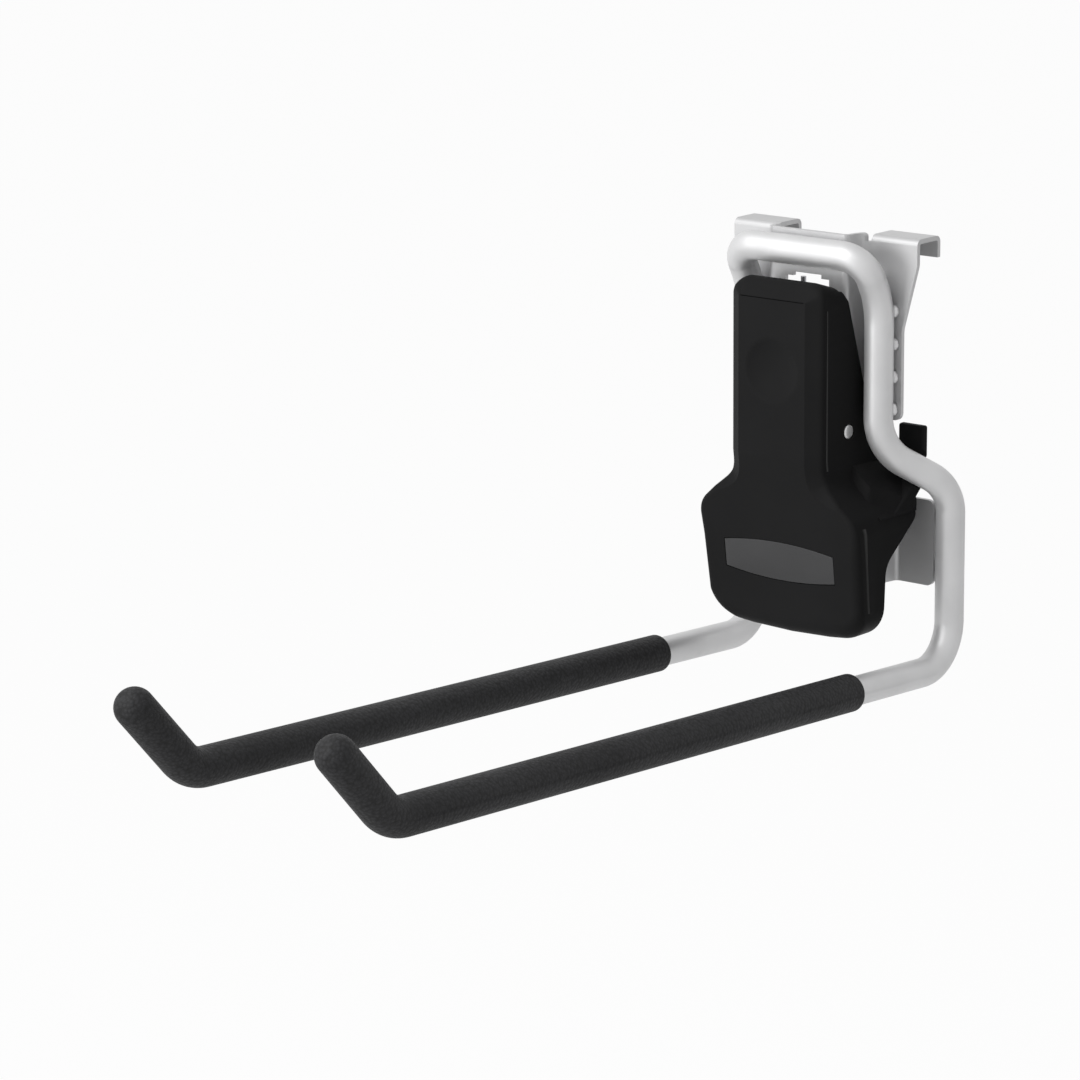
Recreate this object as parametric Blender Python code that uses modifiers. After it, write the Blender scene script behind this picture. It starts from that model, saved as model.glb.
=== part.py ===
# Utility hook that hangs on a wall rail: a bent steel bar with two long sleeved prongs, welded
# to a stamped hanging bracket, with a sprung moulded latch lever that locks it to the rail.
#
# Frame: X to the right seen from the front, -Y out of the wall, Z up. The origin is the rail
# seat: the middle of the width, on the back of the upper flanges, level with the underside of
# the two top hooks. Sizes are in metres.

import math

import bmesh
import bpy
from mathutils import Matrix, Vector

MM = 0.001

# Fits between pieces
SEAT_GAP = 0.3 * MM            # between pieces that touch or are welded together
PIN_CLEARANCE = 0.15 * MM      # round the pivot pin, on the radius
BAR_RELIEF = 0.25 * MM         # round the bar where a foot's corner meets its bend

# Round bar
BAR_DIAMETER = 9.525 * MM
LOOP_HALF_WIDTH = 25.6 * MM    # from the middle to the axis of an upper leg
LOOP_FORWARD = 8.7 * MM        # how far the top of the loop stands in front of the legs
LOOP_TOP_Z = -3.7 * MM         # axis of the loop's top run
LEAN_START_Z = -19.2 * MM      # where the upper legs turn forward
LOOP_CORNER_RADIUS = 8.4 * MM
LEAN_RADIUS = 28.0 * MM
JOG_TOP_Z = -66.7 * MM
JOG_BOTTOM_Z = -81.6 * MM
JOG_TOP_RADIUS = 18.0 * MM
JOG_BOTTOM_RADIUS = 14.6 * MM
PRONG_HALF_SPACING = 39.05 * MM
LEG_SETBACK = 15.3 * MM        # axis of the lower legs behind the rail face
PRONG_Z = -141.3 * MM          # where a lower leg's axis meets its prong's axis
PRONG_BEND_RADIUS = 14.7 * MM
PRONG_RISE = math.radians(2.95)
PRONG_LENGTH = 273.9 * MM      # from the leg's axis to the tip's bend
TIP_TURN = math.radians(45)
TIP_BEND_RADIUS = 15.0 * MM
TIP_LENGTH = 31.8 * MM         # from the tip's bend to the end of the bar
BAR_ROUNDNESS = 6              # bevel resolution of the bar and its sleeves

# Grip sleeves
SLEEVE_WALL = 1.07 * MM
SLEEVE_START = 54.7 * MM       # along the prong from the leg's axis
SLEEVE_RIM = 0.8 * MM

# Stamped bracket
SHEET = 1.5 * MM
WEB_FORWARD = 10.7 * MM        # front of the web in front of the rail face
WEB_HALF_WIDTH = 15.7 * MM     # outer corner of web and side wall
WALL_FLARE = math.radians(9.5)
FRONT_BEND_RADIUS = 2.5 * MM
REAR_BEND_RADIUS = 2.0 * MM
TOP_BEND_RADIUS = 6.0 * MM
WEB_TOP_Z = 2.2 * MM
FLANGE_BOTTOM_Z = -57.9 * MM
FLANGE_HALF_WIDTH = 30.8 * MM
FLANGE_TAPER_Z = -28.4 * MM    # where the flange starts to widen
SHOULDER_Z = -7.1 * MM         # where it reaches the width of the hooks
WAIST_RETURN = 1.1 * MM        # how far the waist is wider than the web
FOOT_SETBACK = 13.0 * MM       # front of the feet behind the rail face
FOOT_TOP_Z = -86.4 * MM
FOOT_BOTTOM_Z = -115.0 * MM
CORNER_RADIUS = 2.5 * MM
TAPER_CORNER_RADIUS = 8.0 * MM

# Top hooks, which drop over the rail's upper edge
HOOK_OUTER_X = 36.5 * MM
RAIL_LIP_DEPTH = 9.7 * MM      # rail thickness that a hook takes
HOOK_DROP = 5.6 * MM           # how far the lip comes down behind the rail
HOOK_BEND_RADIUS = 2.2 * MM
HOOK_NOTCH_STEP = 1.9 * MM     # from the web's corner to the relief cut beside a hook
HOOK_NOTCH_WIDTH = 1.0 * MM
HOOK_NOTCH_Z = -0.5 * MM

# Window in the web, and the two ears that carry the pivot pin
WINDOW_HALF_WIDTH = 8.7 * MM
WINDOW_TOP_Z = -13.0 * MM
NOTCH_HALF_WIDTH = 5.6 * MM
NOTCH_DEPTH = 1.3 * MM
EAR_RADIUS = 5.0 * MM
EAR_HEIGHT = 15.0 * MM
PIN_FORWARD = 12.9 * MM        # pin axis in front of the rail face
PIN_Z = -61.0 * MM
PIN_DIAMETER = 4.7 * MM

# Latch lever
SIDE_PLAY = 0.8 * MM           # between the web's corner and the inside of a cheek
CHEEK_WALL = 1.7 * MM
CHEEK_DRAFT = math.radians(2)  # the cheeks open towards the wall
LEVER_TOP_Z = -11.8 * MM
LEVER_FORWARD = 29.7 * MM      # front face above the pin, in front of the rail face
LEVER_WALL = 2.2 * MM
LEVER_CORNER = 6.0 * MM        # upper corners seen from the front
LEVER_EDGE = 5.0 * MM          # rounding of the front edges beside the cheeks
SHELF_EDGE = 1.8 * MM          # the same along the shoulders
PADDLE_EDGE = 3.0 * MM         # the same down the paddle's sides
CHIN_EDGE = 6.0 * MM           # the same along the bottom
SMALL_EDGE = 0.5 * MM          # least rounding inside
BROW_HEIGHT = 5.7 * MM         # bevelled top of the front face
BROW_DEPTH = 6.7 * MM
BROW_SHAPE = ((1, 0), (0.25, 0.5), (0.05, 0.78), (0, 1))  # shares of that height and depth
BROW_FADE = 0.4                # how soon the brow gives way round the upper corners
TOP_FALL = 2.6 * MM            # how far the top slopes down to its back edge
CHEEK_TOP_FORWARD = 14.7 * MM  # back edge of a cheek at its top
CHEEK_TOP_Z = -15.6 * MM
CHEEK_LOW_FORWARD = 4.8 * MM   # back edge of a cheek beside the pin
CHEEK_LOW_Z = -49.0 * MM
PADDLE_HALF_WIDTH = 32.0 * MM
PADDLE_FOOT_HALF_WIDTH = 30.6 * MM
PADDLE_NECK_Z = -76.2 * MM     # where the sides start to spread
PADDLE_SHOULDER_Z = -88.4 * MM
SHOULDER_RADIUS = 9.0 * MM
PADDLE_BOTTOM_Z = -129.4 * MM
PADDLE_CORNER_RADIUS = 11.0 * MM
PADDLE_BOW = 2.0 * MM
PADDLE_LEAN_Z = -69.0 * MM     # front starts to lean back below this
PADDLE_LEAN_BACK = 7.6 * MM    # how far it leans back by the badge's foot
PADDLE_LEAN_HEIGHT = 58.3 * MM
PADDLE_BACK_FORWARD = 9.7 * MM # back edge of the paddle's lower sides
DIMPLE_Z = -40.6 * MM
DIMPLE_RADIUS = 10.4 * MM
DIMPLE_DEPTH = 2.5 * MM

# Wings: the paddle's sides carried back under the bar
WING_SETBACK = 6.8 * MM        # back edge behind the rail face
WING_TOP_Z = -84.2 * MM
WING_LOW_Z = -90.0 * MM
WING_FOOT_Z = -104.0 * MM
WING_RADIUS = 8.0 * MM

# Latch arms on the shoulders, and the tabs that rise behind the rail's lower edge
BLOCK_TOP_Z = -71.5 * MM
BLOCK_FLAT = 3.0 * MM          # level top of a block, out from the cheek
BLOCK_REACH = 8.1 * MM         # outer side of a block, out from the cheek
BLOCK_FORWARD = 12.8 * MM      # front end in front of the rail face
BLOCK_SETBACK = 8.0 * MM
BLOCK_EDGE = 0.8 * MM
ARM_STEP = 3.9 * MM            # from the cheek to the inner side of an arm
ARM_WIDTH = 9.5 * MM
ARM_FORWARD = 4.0 * MM
ARM_RISE = 6.0 * MM            # length of the arm's sloping front
ARM_LOW_Z = -86.2 * MM
TAB_TOP_Z = -61.5 * MM
TAB_THICKNESS = 3.0 * MM
TAB_SETBACK = 9.7 * MM         # front of a tab behind the rail face
HEEL_Z = -79.0 * MM            # where the heel meets the back of its tab
CROTCH_Z = -74.0 * MM          # where the arm meets the front of its tab
BAR_CLEARANCE = 0.5 * MM       # between the arms and the bar, all through the travel
SWING_GAP = 0.4 * MM           # between the pressed lever's top and the web
LEVER_TRAVEL = math.radians(6)

# Badge plate in the paddle's front
BADGE_HALF_WIDTH = 21.8 * MM
BADGE_END_HEIGHT = 9.1 * MM
BADGE_MIDDLE_HEIGHT = 13.0 * MM
BADGE_Z = -104.3 * MM
BADGE_THICKNESS = 1.0 * MM

# Return spring
SPRING_WIRE = 1.8 * MM
SPRING_TURNS = 6
SPRING_LEG_X = -2.0 * MM
SPRING_FREE_SIDE = 0.5 * MM    # between the pin and the coil

# Weld beads
BEAD_RADIUS = 1.5 * MM
BEAD_HALF_LENGTH = 2.0 * MM
BEAD_STAND = 1.05 * MM         # from the sheet's front to the middle of a bead
UPPER_BEAD_SHIFT = 3.6 * MM    # from the leg's axis outwards to the middle of a bead
LOWER_BEAD_SHIFT = 0.4 * MM    # from the foot's edge inwards
UPPER_BEAD_Z = (-22.2 * MM, -32.8 * MM, -43.5 * MM, -54.1 * MM)
LOWER_BEAD_Z = (-92.0 * MM, -109.0 * MM)

# Worked out from the sizes above
BAR_RADIUS = BAR_DIAMETER / 2
LEG_Y = -(SHEET + SEAT_GAP + BAR_RADIUS)
LOOP_Y = LEG_Y - LOOP_FORWARD
SLEEVE_BORE = BAR_RADIUS + SEAT_GAP
SLEEVE_RADIUS = SLEEVE_BORE + SLEEVE_WALL
PIN_RADIUS = PIN_DIAMETER / 2
PIN_AXIS = Vector((0, -PIN_FORWARD, PIN_Z))
FOOT_HALF_WIDTH = PRONG_HALF_SPACING - BAR_RADIUS - SEAT_GAP
WAIST_HALF_WIDTH = WEB_HALF_WIDTH + WAIST_RETURN
HOOK_NOTCH_X = WEB_HALF_WIDTH + HOOK_NOTCH_STEP
HOOK_INNER_X = HOOK_NOTCH_X + HOOK_NOTCH_WIDTH
LEVER_HALF_WIDTH = WEB_HALF_WIDTH + SIDE_PLAY + CHEEK_WALL
ARM_INNER_X = LEVER_HALF_WIDTH + ARM_STEP
ARM_OUTER_X = ARM_INNER_X + ARM_WIDTH
TAB_BACK = TAB_SETBACK + TAB_THICKNESS
REACH = 400 * MM               # longer than anything a cutter has to pass through
ARC_STEP = math.radians(15)    # one facet of a rounded corner
ROW_PITCH = 5.0 * MM           # most between two rows of the lever's surface
CHIN_SEAM = 0.1 * MM           # half the width of the last face at the middle of the chin

XZ_PLANE = Matrix.Rotation(math.radians(90), 4, "X")
YZ_PLANE = Matrix(((0, 0, 1, 0), (1, 0, 0, 0), (0, 1, 0, 0), (0, 0, 0, 1)))


def clear_scene():
    for obj in list(bpy.data.objects):
        bpy.data.objects.remove(obj, do_unlink=True)


def new_collection(name):
    collection = bpy.data.collections.new(name)
    bpy.context.scene.collection.children.link(collection)
    return collection


def new_material(name, color, roughness, metallic):
    material = bpy.data.materials.new(name)
    material.use_nodes = True
    shader = material.node_tree.nodes["Principled BSDF"]
    shader.inputs["Base Color"].default_value = (*color, 1)
    shader.inputs["Roughness"].default_value = roughness
    shader.inputs["Metallic"].default_value = metallic
    return material


def rounded(corners, radii):
    """Polyline through the corners, with each inner corner turned to its own radius."""
    points = [Vector(corners[0])]
    for before, corner, after, radius in zip(corners, corners[1:], corners[2:], radii):
        corner = Vector(corner)
        to_before = (Vector(before) - corner).normalized()
        to_after = (Vector(after) - corner).normalized()
        half = to_before.angle(to_after) / 2
        turn = math.pi - 2 * half
        if radius == 0 or turn < 1e-4:
            points.append(corner)
            continue
        centre = corner + (to_before + to_after).normalized() * radius / math.sin(half)
        start = corner + to_before * radius / math.tan(half) - centre
        end = corner + to_after * radius / math.tan(half) - centre
        steps = max(2, math.ceil(turn / ARC_STEP))
        for step in range(steps + 1):
            part = turn * step / steps
            points.append(centre + (start * math.sin(turn - part) + end * math.sin(part)) / math.sin(turn))
    points.append(Vector(corners[-1]))
    return points


def closed_rounded(corners, radii):
    """Closed outline with every corner turned to its own radius."""
    count = len(corners)
    ring = []
    for index in range(count):
        corner = Vector(corners[index])
        before = (Vector(corners[index - 1]) + corner) / 2
        after = (Vector(corners[(index + 1) % count]) + corner) / 2
        ring += rounded((before, corner, after), (radii[index],))[1:-1]
    return ring


def divided(points, pitch):
    """The same line with points added where two lie further apart than the pitch."""
    line = [points[0]]
    for before, after in zip(points, points[1:]):
        steps = max(1, math.ceil((after - before).length / pitch))
        line += [before.lerp(after, step / steps) for step in range(1, steps + 1)]
    return line


def mirrored(points):
    """The half path on the right, joined to its mirror image on the left."""
    left = [Vector((-p[0], *p[1:])) for p in reversed(points)]
    return left + [p for p in points if p[0] > 1e-9]


def link(obj, collection, material=None):
    collection.objects.link(obj)
    if material:
        obj.data.materials.append(material)
    return obj


def as_mesh(curve_object, collection):
    """Mesh copy of a curve object with its caps welded; the curve itself is removed."""
    bpy.context.view_layer.update()
    evaluated = curve_object.evaluated_get(bpy.context.evaluated_depsgraph_get())
    mesh = bpy.data.meshes.new_from_object(evaluated)
    work = bmesh.new()
    work.from_mesh(mesh)
    bmesh.ops.remove_doubles(work, verts=work.verts, dist=1e-6)
    bmesh.ops.recalc_face_normals(work, faces=work.faces)
    work.to_mesh(mesh)
    work.free()
    obj = link(bpy.data.objects.new(curve_object.name, mesh), collection)
    obj.matrix_world = curve_object.matrix_world
    name = curve_object.name
    bpy.data.objects.remove(curve_object, do_unlink=True)
    obj.name = name
    return obj


def tube(name, path, radius, collection, roundness=BAR_ROUNDNESS, shares=None):
    """Round bar along a path. shares gives the radius at each point as a share of the full one."""
    curve = bpy.data.curves.new(name, "CURVE")
    curve.dimensions = "3D"
    curve.bevel_depth = radius
    curve.bevel_resolution = roundness
    curve.use_fill_caps = True
    spline = curve.splines.new("POLY")
    spline.points.add(len(path) - 1)
    for index, place in enumerate(path):
        spline.points[index].co = (*place, 1)
        spline.points[index].radius = shares[index] if shares else 1
    return link(bpy.data.objects.new(name, curve), collection)


def plate(name, outline, start, end, plane, collection):
    """Flat outline made thick from start to end along the plane's normal."""
    curve = bpy.data.curves.new(name, "CURVE")
    curve.dimensions = "2D"
    curve.fill_mode = "BOTH"
    curve.extrude = (end - start) / 2
    spline = curve.splines.new("POLY")
    spline.points.add(len(outline) - 1)
    for index, place in enumerate(outline):
        spline.points[index].co = (place[0], place[1], 0, 1)
    spline.use_cyclic_u = True
    obj = link(bpy.data.objects.new(name, curve), collection)
    normal = Vector((0, 1, 0)) if plane == XZ_PLANE else Vector((1, 0, 0))
    obj.matrix_world = Matrix.Translation(normal * (start + end) / 2) @ plane
    return as_mesh(obj, collection)


def mesh_object(name, vertices, faces, collection):
    """Closed mesh from a loft's faces."""
    mesh = bpy.data.meshes.new(name)
    mesh.from_pydata(vertices, [], faces)
    work = bmesh.new()
    work.from_mesh(mesh)
    bmesh.ops.remove_doubles(work, verts=work.verts, dist=1e-7)
    bmesh.ops.recalc_face_normals(work, faces=work.faces)
    work.to_mesh(mesh)
    work.free()
    return link(bpy.data.objects.new(name, mesh), collection)


def cylinder_x(name, radius, half_length, centre, collection, sides=24):
    work = bmesh.new()
    bmesh.ops.create_cone(work, cap_ends=True, segments=sides, radius1=radius, radius2=radius,
                          depth=2 * half_length, matrix=Matrix.Rotation(math.radians(90), 4, "Y"))
    mesh = bpy.data.meshes.new(name)
    work.to_mesh(mesh)
    work.free()
    obj = link(bpy.data.objects.new(name, mesh), collection)
    obj.location = centre
    return obj


def combine(obj, operand, operation):
    """Boolean with another object, which is then shown as a cutter only."""
    modifier = obj.modifiers.new(operand.name, "BOOLEAN")
    modifier.object = operand
    modifier.operation = operation
    modifier.solver = "EXACT"
    operand.display_type = "WIRE"
    operand.hide_render = True


def shade(obj, angle=35):
    obj.data.shade_smooth()
    obj.data.set_sharp_from_angle(angle=math.radians(angle))


# Path of the bar

def prong_direction():
    return Vector((0, -math.cos(PRONG_RISE), math.sin(PRONG_RISE)))


def tip_direction():
    angle = PRONG_RISE + TIP_TURN
    return Vector((0, -math.cos(angle), math.sin(angle)))


def prong_root(side):
    return Vector((side * PRONG_HALF_SPACING, LEG_SETBACK, PRONG_Z))


def tip_bend(side):
    return prong_root(side) + prong_direction() * PRONG_LENGTH


def bar_half():
    """Axis of the right half of the bar, from the middle of the loop to the tip."""
    corners = (
        (0, LOOP_Y, LOOP_TOP_Z),
        (LOOP_HALF_WIDTH, LOOP_Y, LOOP_TOP_Z),
        (LOOP_HALF_WIDTH, LEG_Y, LEAN_START_Z),
        (LOOP_HALF_WIDTH, LEG_Y, JOG_TOP_Z),
        (PRONG_HALF_SPACING, LEG_SETBACK, JOG_BOTTOM_Z),
        prong_root(1),
        tip_bend(1),
        tip_bend(1) + tip_direction() * TIP_LENGTH,
    )
    radii = (LOOP_CORNER_RADIUS, LEAN_RADIUS, JOG_TOP_RADIUS, JOG_BOTTOM_RADIUS, PRONG_BEND_RADIUS,
             TIP_BEND_RADIUS)
    return rounded(corners, radii)


def make_bar(parts, steel):
    bar = tube("hook_bar", mirrored(bar_half()), BAR_RADIUS, parts)
    bar.data.materials.append(steel)
    return bar


def make_sleeve(name, side, parts, cutters, grip):
    """Closed-ended sleeve over the prong and its turned-up tip."""
    start = prong_root(side) + prong_direction() * SLEEVE_START
    end = tip_bend(side) + tip_direction() * TIP_LENGTH
    middle = rounded((start, tip_bend(side), end), (TIP_BEND_RADIUS,))[1:-1]
    along = prong_direction() * SLEEVE_RIM
    rim = [start, start + along * 0.3, start + along]
    rim_radii = [SLEEVE_RADIUS - SLEEVE_RIM, SLEEVE_RADIUS - 0.3 * SLEEVE_RIM, SLEEVE_RADIUS]
    angles = [math.radians(a) for a in (0, 20, 40, 60, 75, 88)]
    dome = [end + tip_direction() * SLEEVE_RADIUS * math.sin(a) for a in angles]
    dome_radii = [SLEEVE_RADIUS * math.cos(a) for a in angles]
    radii = rim_radii + [SLEEVE_RADIUS] * len(middle) + dome_radii
    outer = tube(name, rim + middle + dome, SLEEVE_RADIUS, parts, shares=[r / SLEEVE_RADIUS for r in radii])
    outer = as_mesh(outer, parts)
    opening = start - prong_direction() * SLEEVE_WALL
    bore_path = [opening] + middle + [end + tip_direction() * SEAT_GAP]
    bore = as_mesh(tube(name + "_bore", bore_path, SLEEVE_BORE, cutters), cutters)
    combine(outer, bore, "DIFFERENCE")
    outer.data.materials.append(grip)
    shade(outer)
    return outer


# Stamped bracket

def hat_section(setback, rear_radius):
    """Right half of the channel's front face at one height, as (x, y) from the web's middle."""
    corner_y = -WEB_FORWARD
    spread = (setback + WEB_FORWARD) * math.tan(WALL_FLARE)
    corners = (
        (0, corner_y, 0),
        (WEB_HALF_WIDTH, corner_y, 0),
        (WEB_HALF_WIDTH + spread, setback, 0),
        (HOOK_OUTER_X + CORNER_RADIUS, setback, 0),
    )
    return rounded(corners, (FRONT_BEND_RADIUS, rear_radius))


def make_bracket_sheet(parts):
    """Half of the pressed channel as an open face, mirrored and thickened to the sheet."""
    stations = (
        (FOOT_BOTTOM_Z - CORNER_RADIUS, FOOT_SETBACK, REAR_BEND_RADIUS),
        (FOOT_TOP_Z + CORNER_RADIUS, FOOT_SETBACK, REAR_BEND_RADIUS),
        (FLANGE_BOTTOM_Z - CORNER_RADIUS, -SHEET, REAR_BEND_RADIUS),
        (FLANGE_TAPER_Z, -SHEET, REAR_BEND_RADIUS),
        (SHOULDER_Z, -SHEET, TOP_BEND_RADIUS),
        (WEB_TOP_Z + CORNER_RADIUS, -SHEET, TOP_BEND_RADIUS),
    )
    vertices = []
    columns = 0
    for height, setback, radius in stations:
        section = hat_section(setback, radius)
        columns = len(section)
        vertices += [(p.x, p.y, height) for p in section]
    faces = []
    for row in range(len(stations) - 1):
        for column in range(columns - 1):
            first = row * columns + column
            faces.append((first, first + 1, first + 1 + columns, first + columns))
    mesh = bpy.data.meshes.new("back_bracket")
    mesh.from_pydata(vertices, [], faces)
    sheet = link(bpy.data.objects.new("back_bracket", mesh), parts)
    mirror = sheet.modifiers.new("Mirror", "MIRROR")
    mirror.merge_threshold = 0.00005
    solidify = sheet.modifiers.new("Sheet", "SOLIDIFY")
    solidify.thickness = SHEET
    solidify.offset = -1
    return sheet


def bracket_outline():
    """Outline that the pressed channel is trimmed to, seen from the front."""
    right = (
        ((FOOT_HALF_WIDTH, FOOT_BOTTOM_Z), CORNER_RADIUS),
        ((FOOT_HALF_WIDTH, FOOT_TOP_Z), CORNER_RADIUS),
        ((WAIST_HALF_WIDTH, FOOT_TOP_Z), CORNER_RADIUS),
        ((WAIST_HALF_WIDTH, FLANGE_BOTTOM_Z), CORNER_RADIUS),
        ((FLANGE_HALF_WIDTH, FLANGE_BOTTOM_Z), CORNER_RADIUS),
        ((FLANGE_HALF_WIDTH, FLANGE_TAPER_Z), TAPER_CORNER_RADIUS),
        ((HOOK_OUTER_X, SHOULDER_Z), TAPER_CORNER_RADIUS),
        ((HOOK_OUTER_X, HOOK_NOTCH_Z), 0),
        ((HOOK_NOTCH_X, HOOK_NOTCH_Z), 0),
        ((HOOK_NOTCH_X, WEB_TOP_Z), CORNER_RADIUS / 2),
    )
    corners = [(x, z, 0) for (x, z), radius in right]
    radii = [radius for corner, radius in right]
    left = [(-x, z, 0) for x, z, flat in reversed(corners)]
    return closed_rounded(corners + left, radii + radii[::-1])


def window_outline():
    """Window for the lever's spring: narrow at the top, full web width beside the ears."""
    ear_x = WEB_HALF_WIDTH - SHEET
    ear_top = PIN_Z + EAR_HEIGHT / 2
    ear_bottom = PIN_Z - EAR_HEIGHT / 2
    right = (
        (ear_x, ear_bottom),
        (ear_x, ear_top),
        (WINDOW_HALF_WIDTH, ear_top),
        (WINDOW_HALF_WIDTH, WINDOW_TOP_Z),
        (NOTCH_HALF_WIDTH, WINDOW_TOP_Z),
        (NOTCH_HALF_WIDTH, WINDOW_TOP_Z + NOTCH_DEPTH),
    )
    return [(x, z, 0) for x, z in right] + [(-x, z, 0) for x, z in reversed(right)]


def make_hook_strip(name, side, cutters):
    """Top hook: the flange's sheet carried up, over the rail and down behind it."""
    low = HOOK_NOTCH_Z - 4 * SHEET
    top = SHEET
    back = RAIL_LIP_DEPTH + SHEET
    corners = ((0, -SHEET, low), (0, -SHEET, top), (0, back, top), (0, back, -HOOK_DROP))
    path = rounded(corners, (HOOK_BEND_RADIUS, HOOK_BEND_RADIUS))
    vertices = [(side * x, p.y, p.z) for p in path for x in (HOOK_INNER_X, HOOK_OUTER_X)]
    faces = [(2 * i, 2 * i + 1, 2 * i + 3, 2 * i + 2) for i in range(len(path) - 1)]
    if side > 0:
        faces = [face[::-1] for face in faces]
    mesh = bpy.data.meshes.new(name)
    mesh.from_pydata(vertices, [], faces)
    strip = link(bpy.data.objects.new(name, mesh), cutters)
    solidify = strip.modifiers.new("Sheet", "SOLIDIFY")
    solidify.thickness = SHEET
    solidify.offset = 1
    return strip


def make_ear(name, side, cutters):
    """Ear lanced forward out of the web in line with the side wall, with a round nose."""
    root_y = -WEB_FORWARD + 2 * SHEET
    arc = [math.radians(a) for a in range(90, 271, 15)]
    nose = [(PIN_AXIS.y + EAR_RADIUS * math.cos(a), PIN_Z + EAR_RADIUS * math.sin(a)) for a in arc]
    root = [(root_y, PIN_Z - EAR_HEIGHT / 2), (root_y, PIN_Z + EAR_HEIGHT / 2)]
    shoulder = [(-WEB_FORWARD, PIN_Z + EAR_HEIGHT / 2)]
    chin = [(-WEB_FORWARD, PIN_Z - EAR_HEIGHT / 2)]
    inner = WEB_HALF_WIDTH - SHEET
    span = sorted((side * inner, side * WEB_HALF_WIDTH))
    return plate(name, shoulder + nose + chin + root, *span, YZ_PLANE, cutters)


def make_bracket(parts, cutters, steel):
    sheet = make_bracket_sheet(parts)
    trim = plate("bracket_trim", bracket_outline(), -REACH / 2, REACH / 2, XZ_PLANE, cutters)
    window = plate("web_window", window_outline(), -WEB_FORWARD - 4 * SHEET, -WEB_FORWARD + 3 * SHEET,
                   XZ_PLANE, cutters)
    bar_space = as_mesh(tube("bar_relief", mirrored(bar_half()), BAR_RADIUS + BAR_RELIEF, cutters), cutters)
    combine(sheet, trim, "INTERSECT")
    combine(sheet, window, "DIFFERENCE")
    combine(sheet, bar_space, "DIFFERENCE")
    for side, label in ((-1, "left"), (1, "right")):
        combine(sheet, make_ear(label + "_ear", side, cutters), "UNION")
        combine(sheet, make_hook_strip(label + "_hook_strip", side, cutters), "UNION")
    pin_hole = cylinder_x("ear_holes", PIN_RADIUS + PIN_CLEARANCE, REACH / 4, PIN_AXIS, cutters)
    combine(sheet, pin_hole, "DIFFERENCE")
    sheet.data.materials.append(steel)
    return sheet


# Latch lever

def interpolate(z, table):
    """Straight-line value at z from (z, value) pairs given top to bottom."""
    if z >= table[0][0]:
        return table[0][1]
    for (high, first), (low, second) in zip(table, table[1:]):
        if z >= low:
            return second + (first - second) * (z - low) / (high - low)
    return table[-1][1]


def lever_front(z):
    lean_bottom = PADDLE_LEAN_Z - PADDLE_LEAN_HEIGHT
    table = (
        (PADDLE_LEAN_Z, -LEVER_FORWARD),
        (lean_bottom, -LEVER_FORWARD + PADDLE_LEAN_BACK),
    )
    return interpolate(z, table)


def lever_back_table():
    """Back edge of the sides from top to bottom, as (z, y): cheek, wing, then paddle."""
    corners = (
        (CHEEK_TOP_Z, -CHEEK_TOP_FORWARD, 0),
        (CHEEK_LOW_Z, -CHEEK_LOW_FORWARD, 0),
        (PADDLE_NECK_Z, -CHEEK_LOW_FORWARD, 0),
        (WING_TOP_Z, WING_SETBACK, 0),
        (WING_LOW_Z, WING_SETBACK, 0),
        (WING_FOOT_Z, -PADDLE_BACK_FORWARD, 0),
        (PADDLE_BOTTOM_Z, -PADDLE_BACK_FORWARD, 0),
    )
    line = rounded(corners, (2 * WING_RADIUS, WING_RADIUS / 4, WING_RADIUS / 4, WING_RADIUS / 2, WING_RADIUS))
    return [(point.x, point.y) for point in line]


def edge_radius(z):
    """Rounding of the front edge at this height."""
    table = (
        (PADDLE_NECK_Z, LEVER_EDGE),
        ((PADDLE_NECK_Z + PADDLE_SHOULDER_Z) / 2, SHELF_EDGE),
        (PADDLE_SHOULDER_Z, SHELF_EDGE),
        (PADDLE_SHOULDER_Z - PADDLE_CORNER_RADIUS, PADDLE_EDGE),
        (PADDLE_BOTTOM_Z + PADDLE_CORNER_RADIUS, PADDLE_EDGE),
        (PADDLE_BOTTOM_Z + PADDLE_BOW, CHIN_EDGE),
    )
    return interpolate(z, table)


def lever_outline():
    """Right side of the lever seen from the front, top to bottom, with outward normals."""
    corners = (
        (0, LEVER_TOP_Z, 0),
        (LEVER_HALF_WIDTH, LEVER_TOP_Z, 0),
        (LEVER_HALF_WIDTH, PADDLE_NECK_Z, 0),
        (PADDLE_HALF_WIDTH, PADDLE_SHOULDER_Z, 0),
        (PADDLE_FOOT_HALF_WIDTH, PADDLE_BOTTOM_Z + PADDLE_BOW, 0),
        (PADDLE_FOOT_HALF_WIDTH / 2, PADDLE_BOTTOM_Z + PADDLE_BOW / 4, 0),
        (0, PADDLE_BOTTOM_Z, 0),
    )
    radii = (LEVER_CORNER, SHOULDER_RADIUS, SHOULDER_RADIUS, PADDLE_CORNER_RADIUS, PADDLE_FOOT_HALF_WIDTH)
    line = divided(rounded(corners, radii)[1:], ROW_PITCH)
    line[-1].x = 2 * CHIN_SEAM
    rows = []
    for index, point in enumerate(line):
        along = line[min(index + 1, len(line) - 1)] - line[max(index - 1, 0)]
        rows.append((point, Vector((-along.y, along.x, 0)).normalized()))
    rows[0] = (rows[0][0], Vector((0, 1, 0)))
    rows[-1] = (rows[-1][0], Vector((0, -1, 0)))
    return rows


def top_share(point, normal):
    """How far an outline point belongs to the lever's top: 1 on top, 0 at the sides and lower down."""
    return max(0, normal.y) if point.y > CHEEK_TOP_Z - LEVER_EDGE else 0


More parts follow.
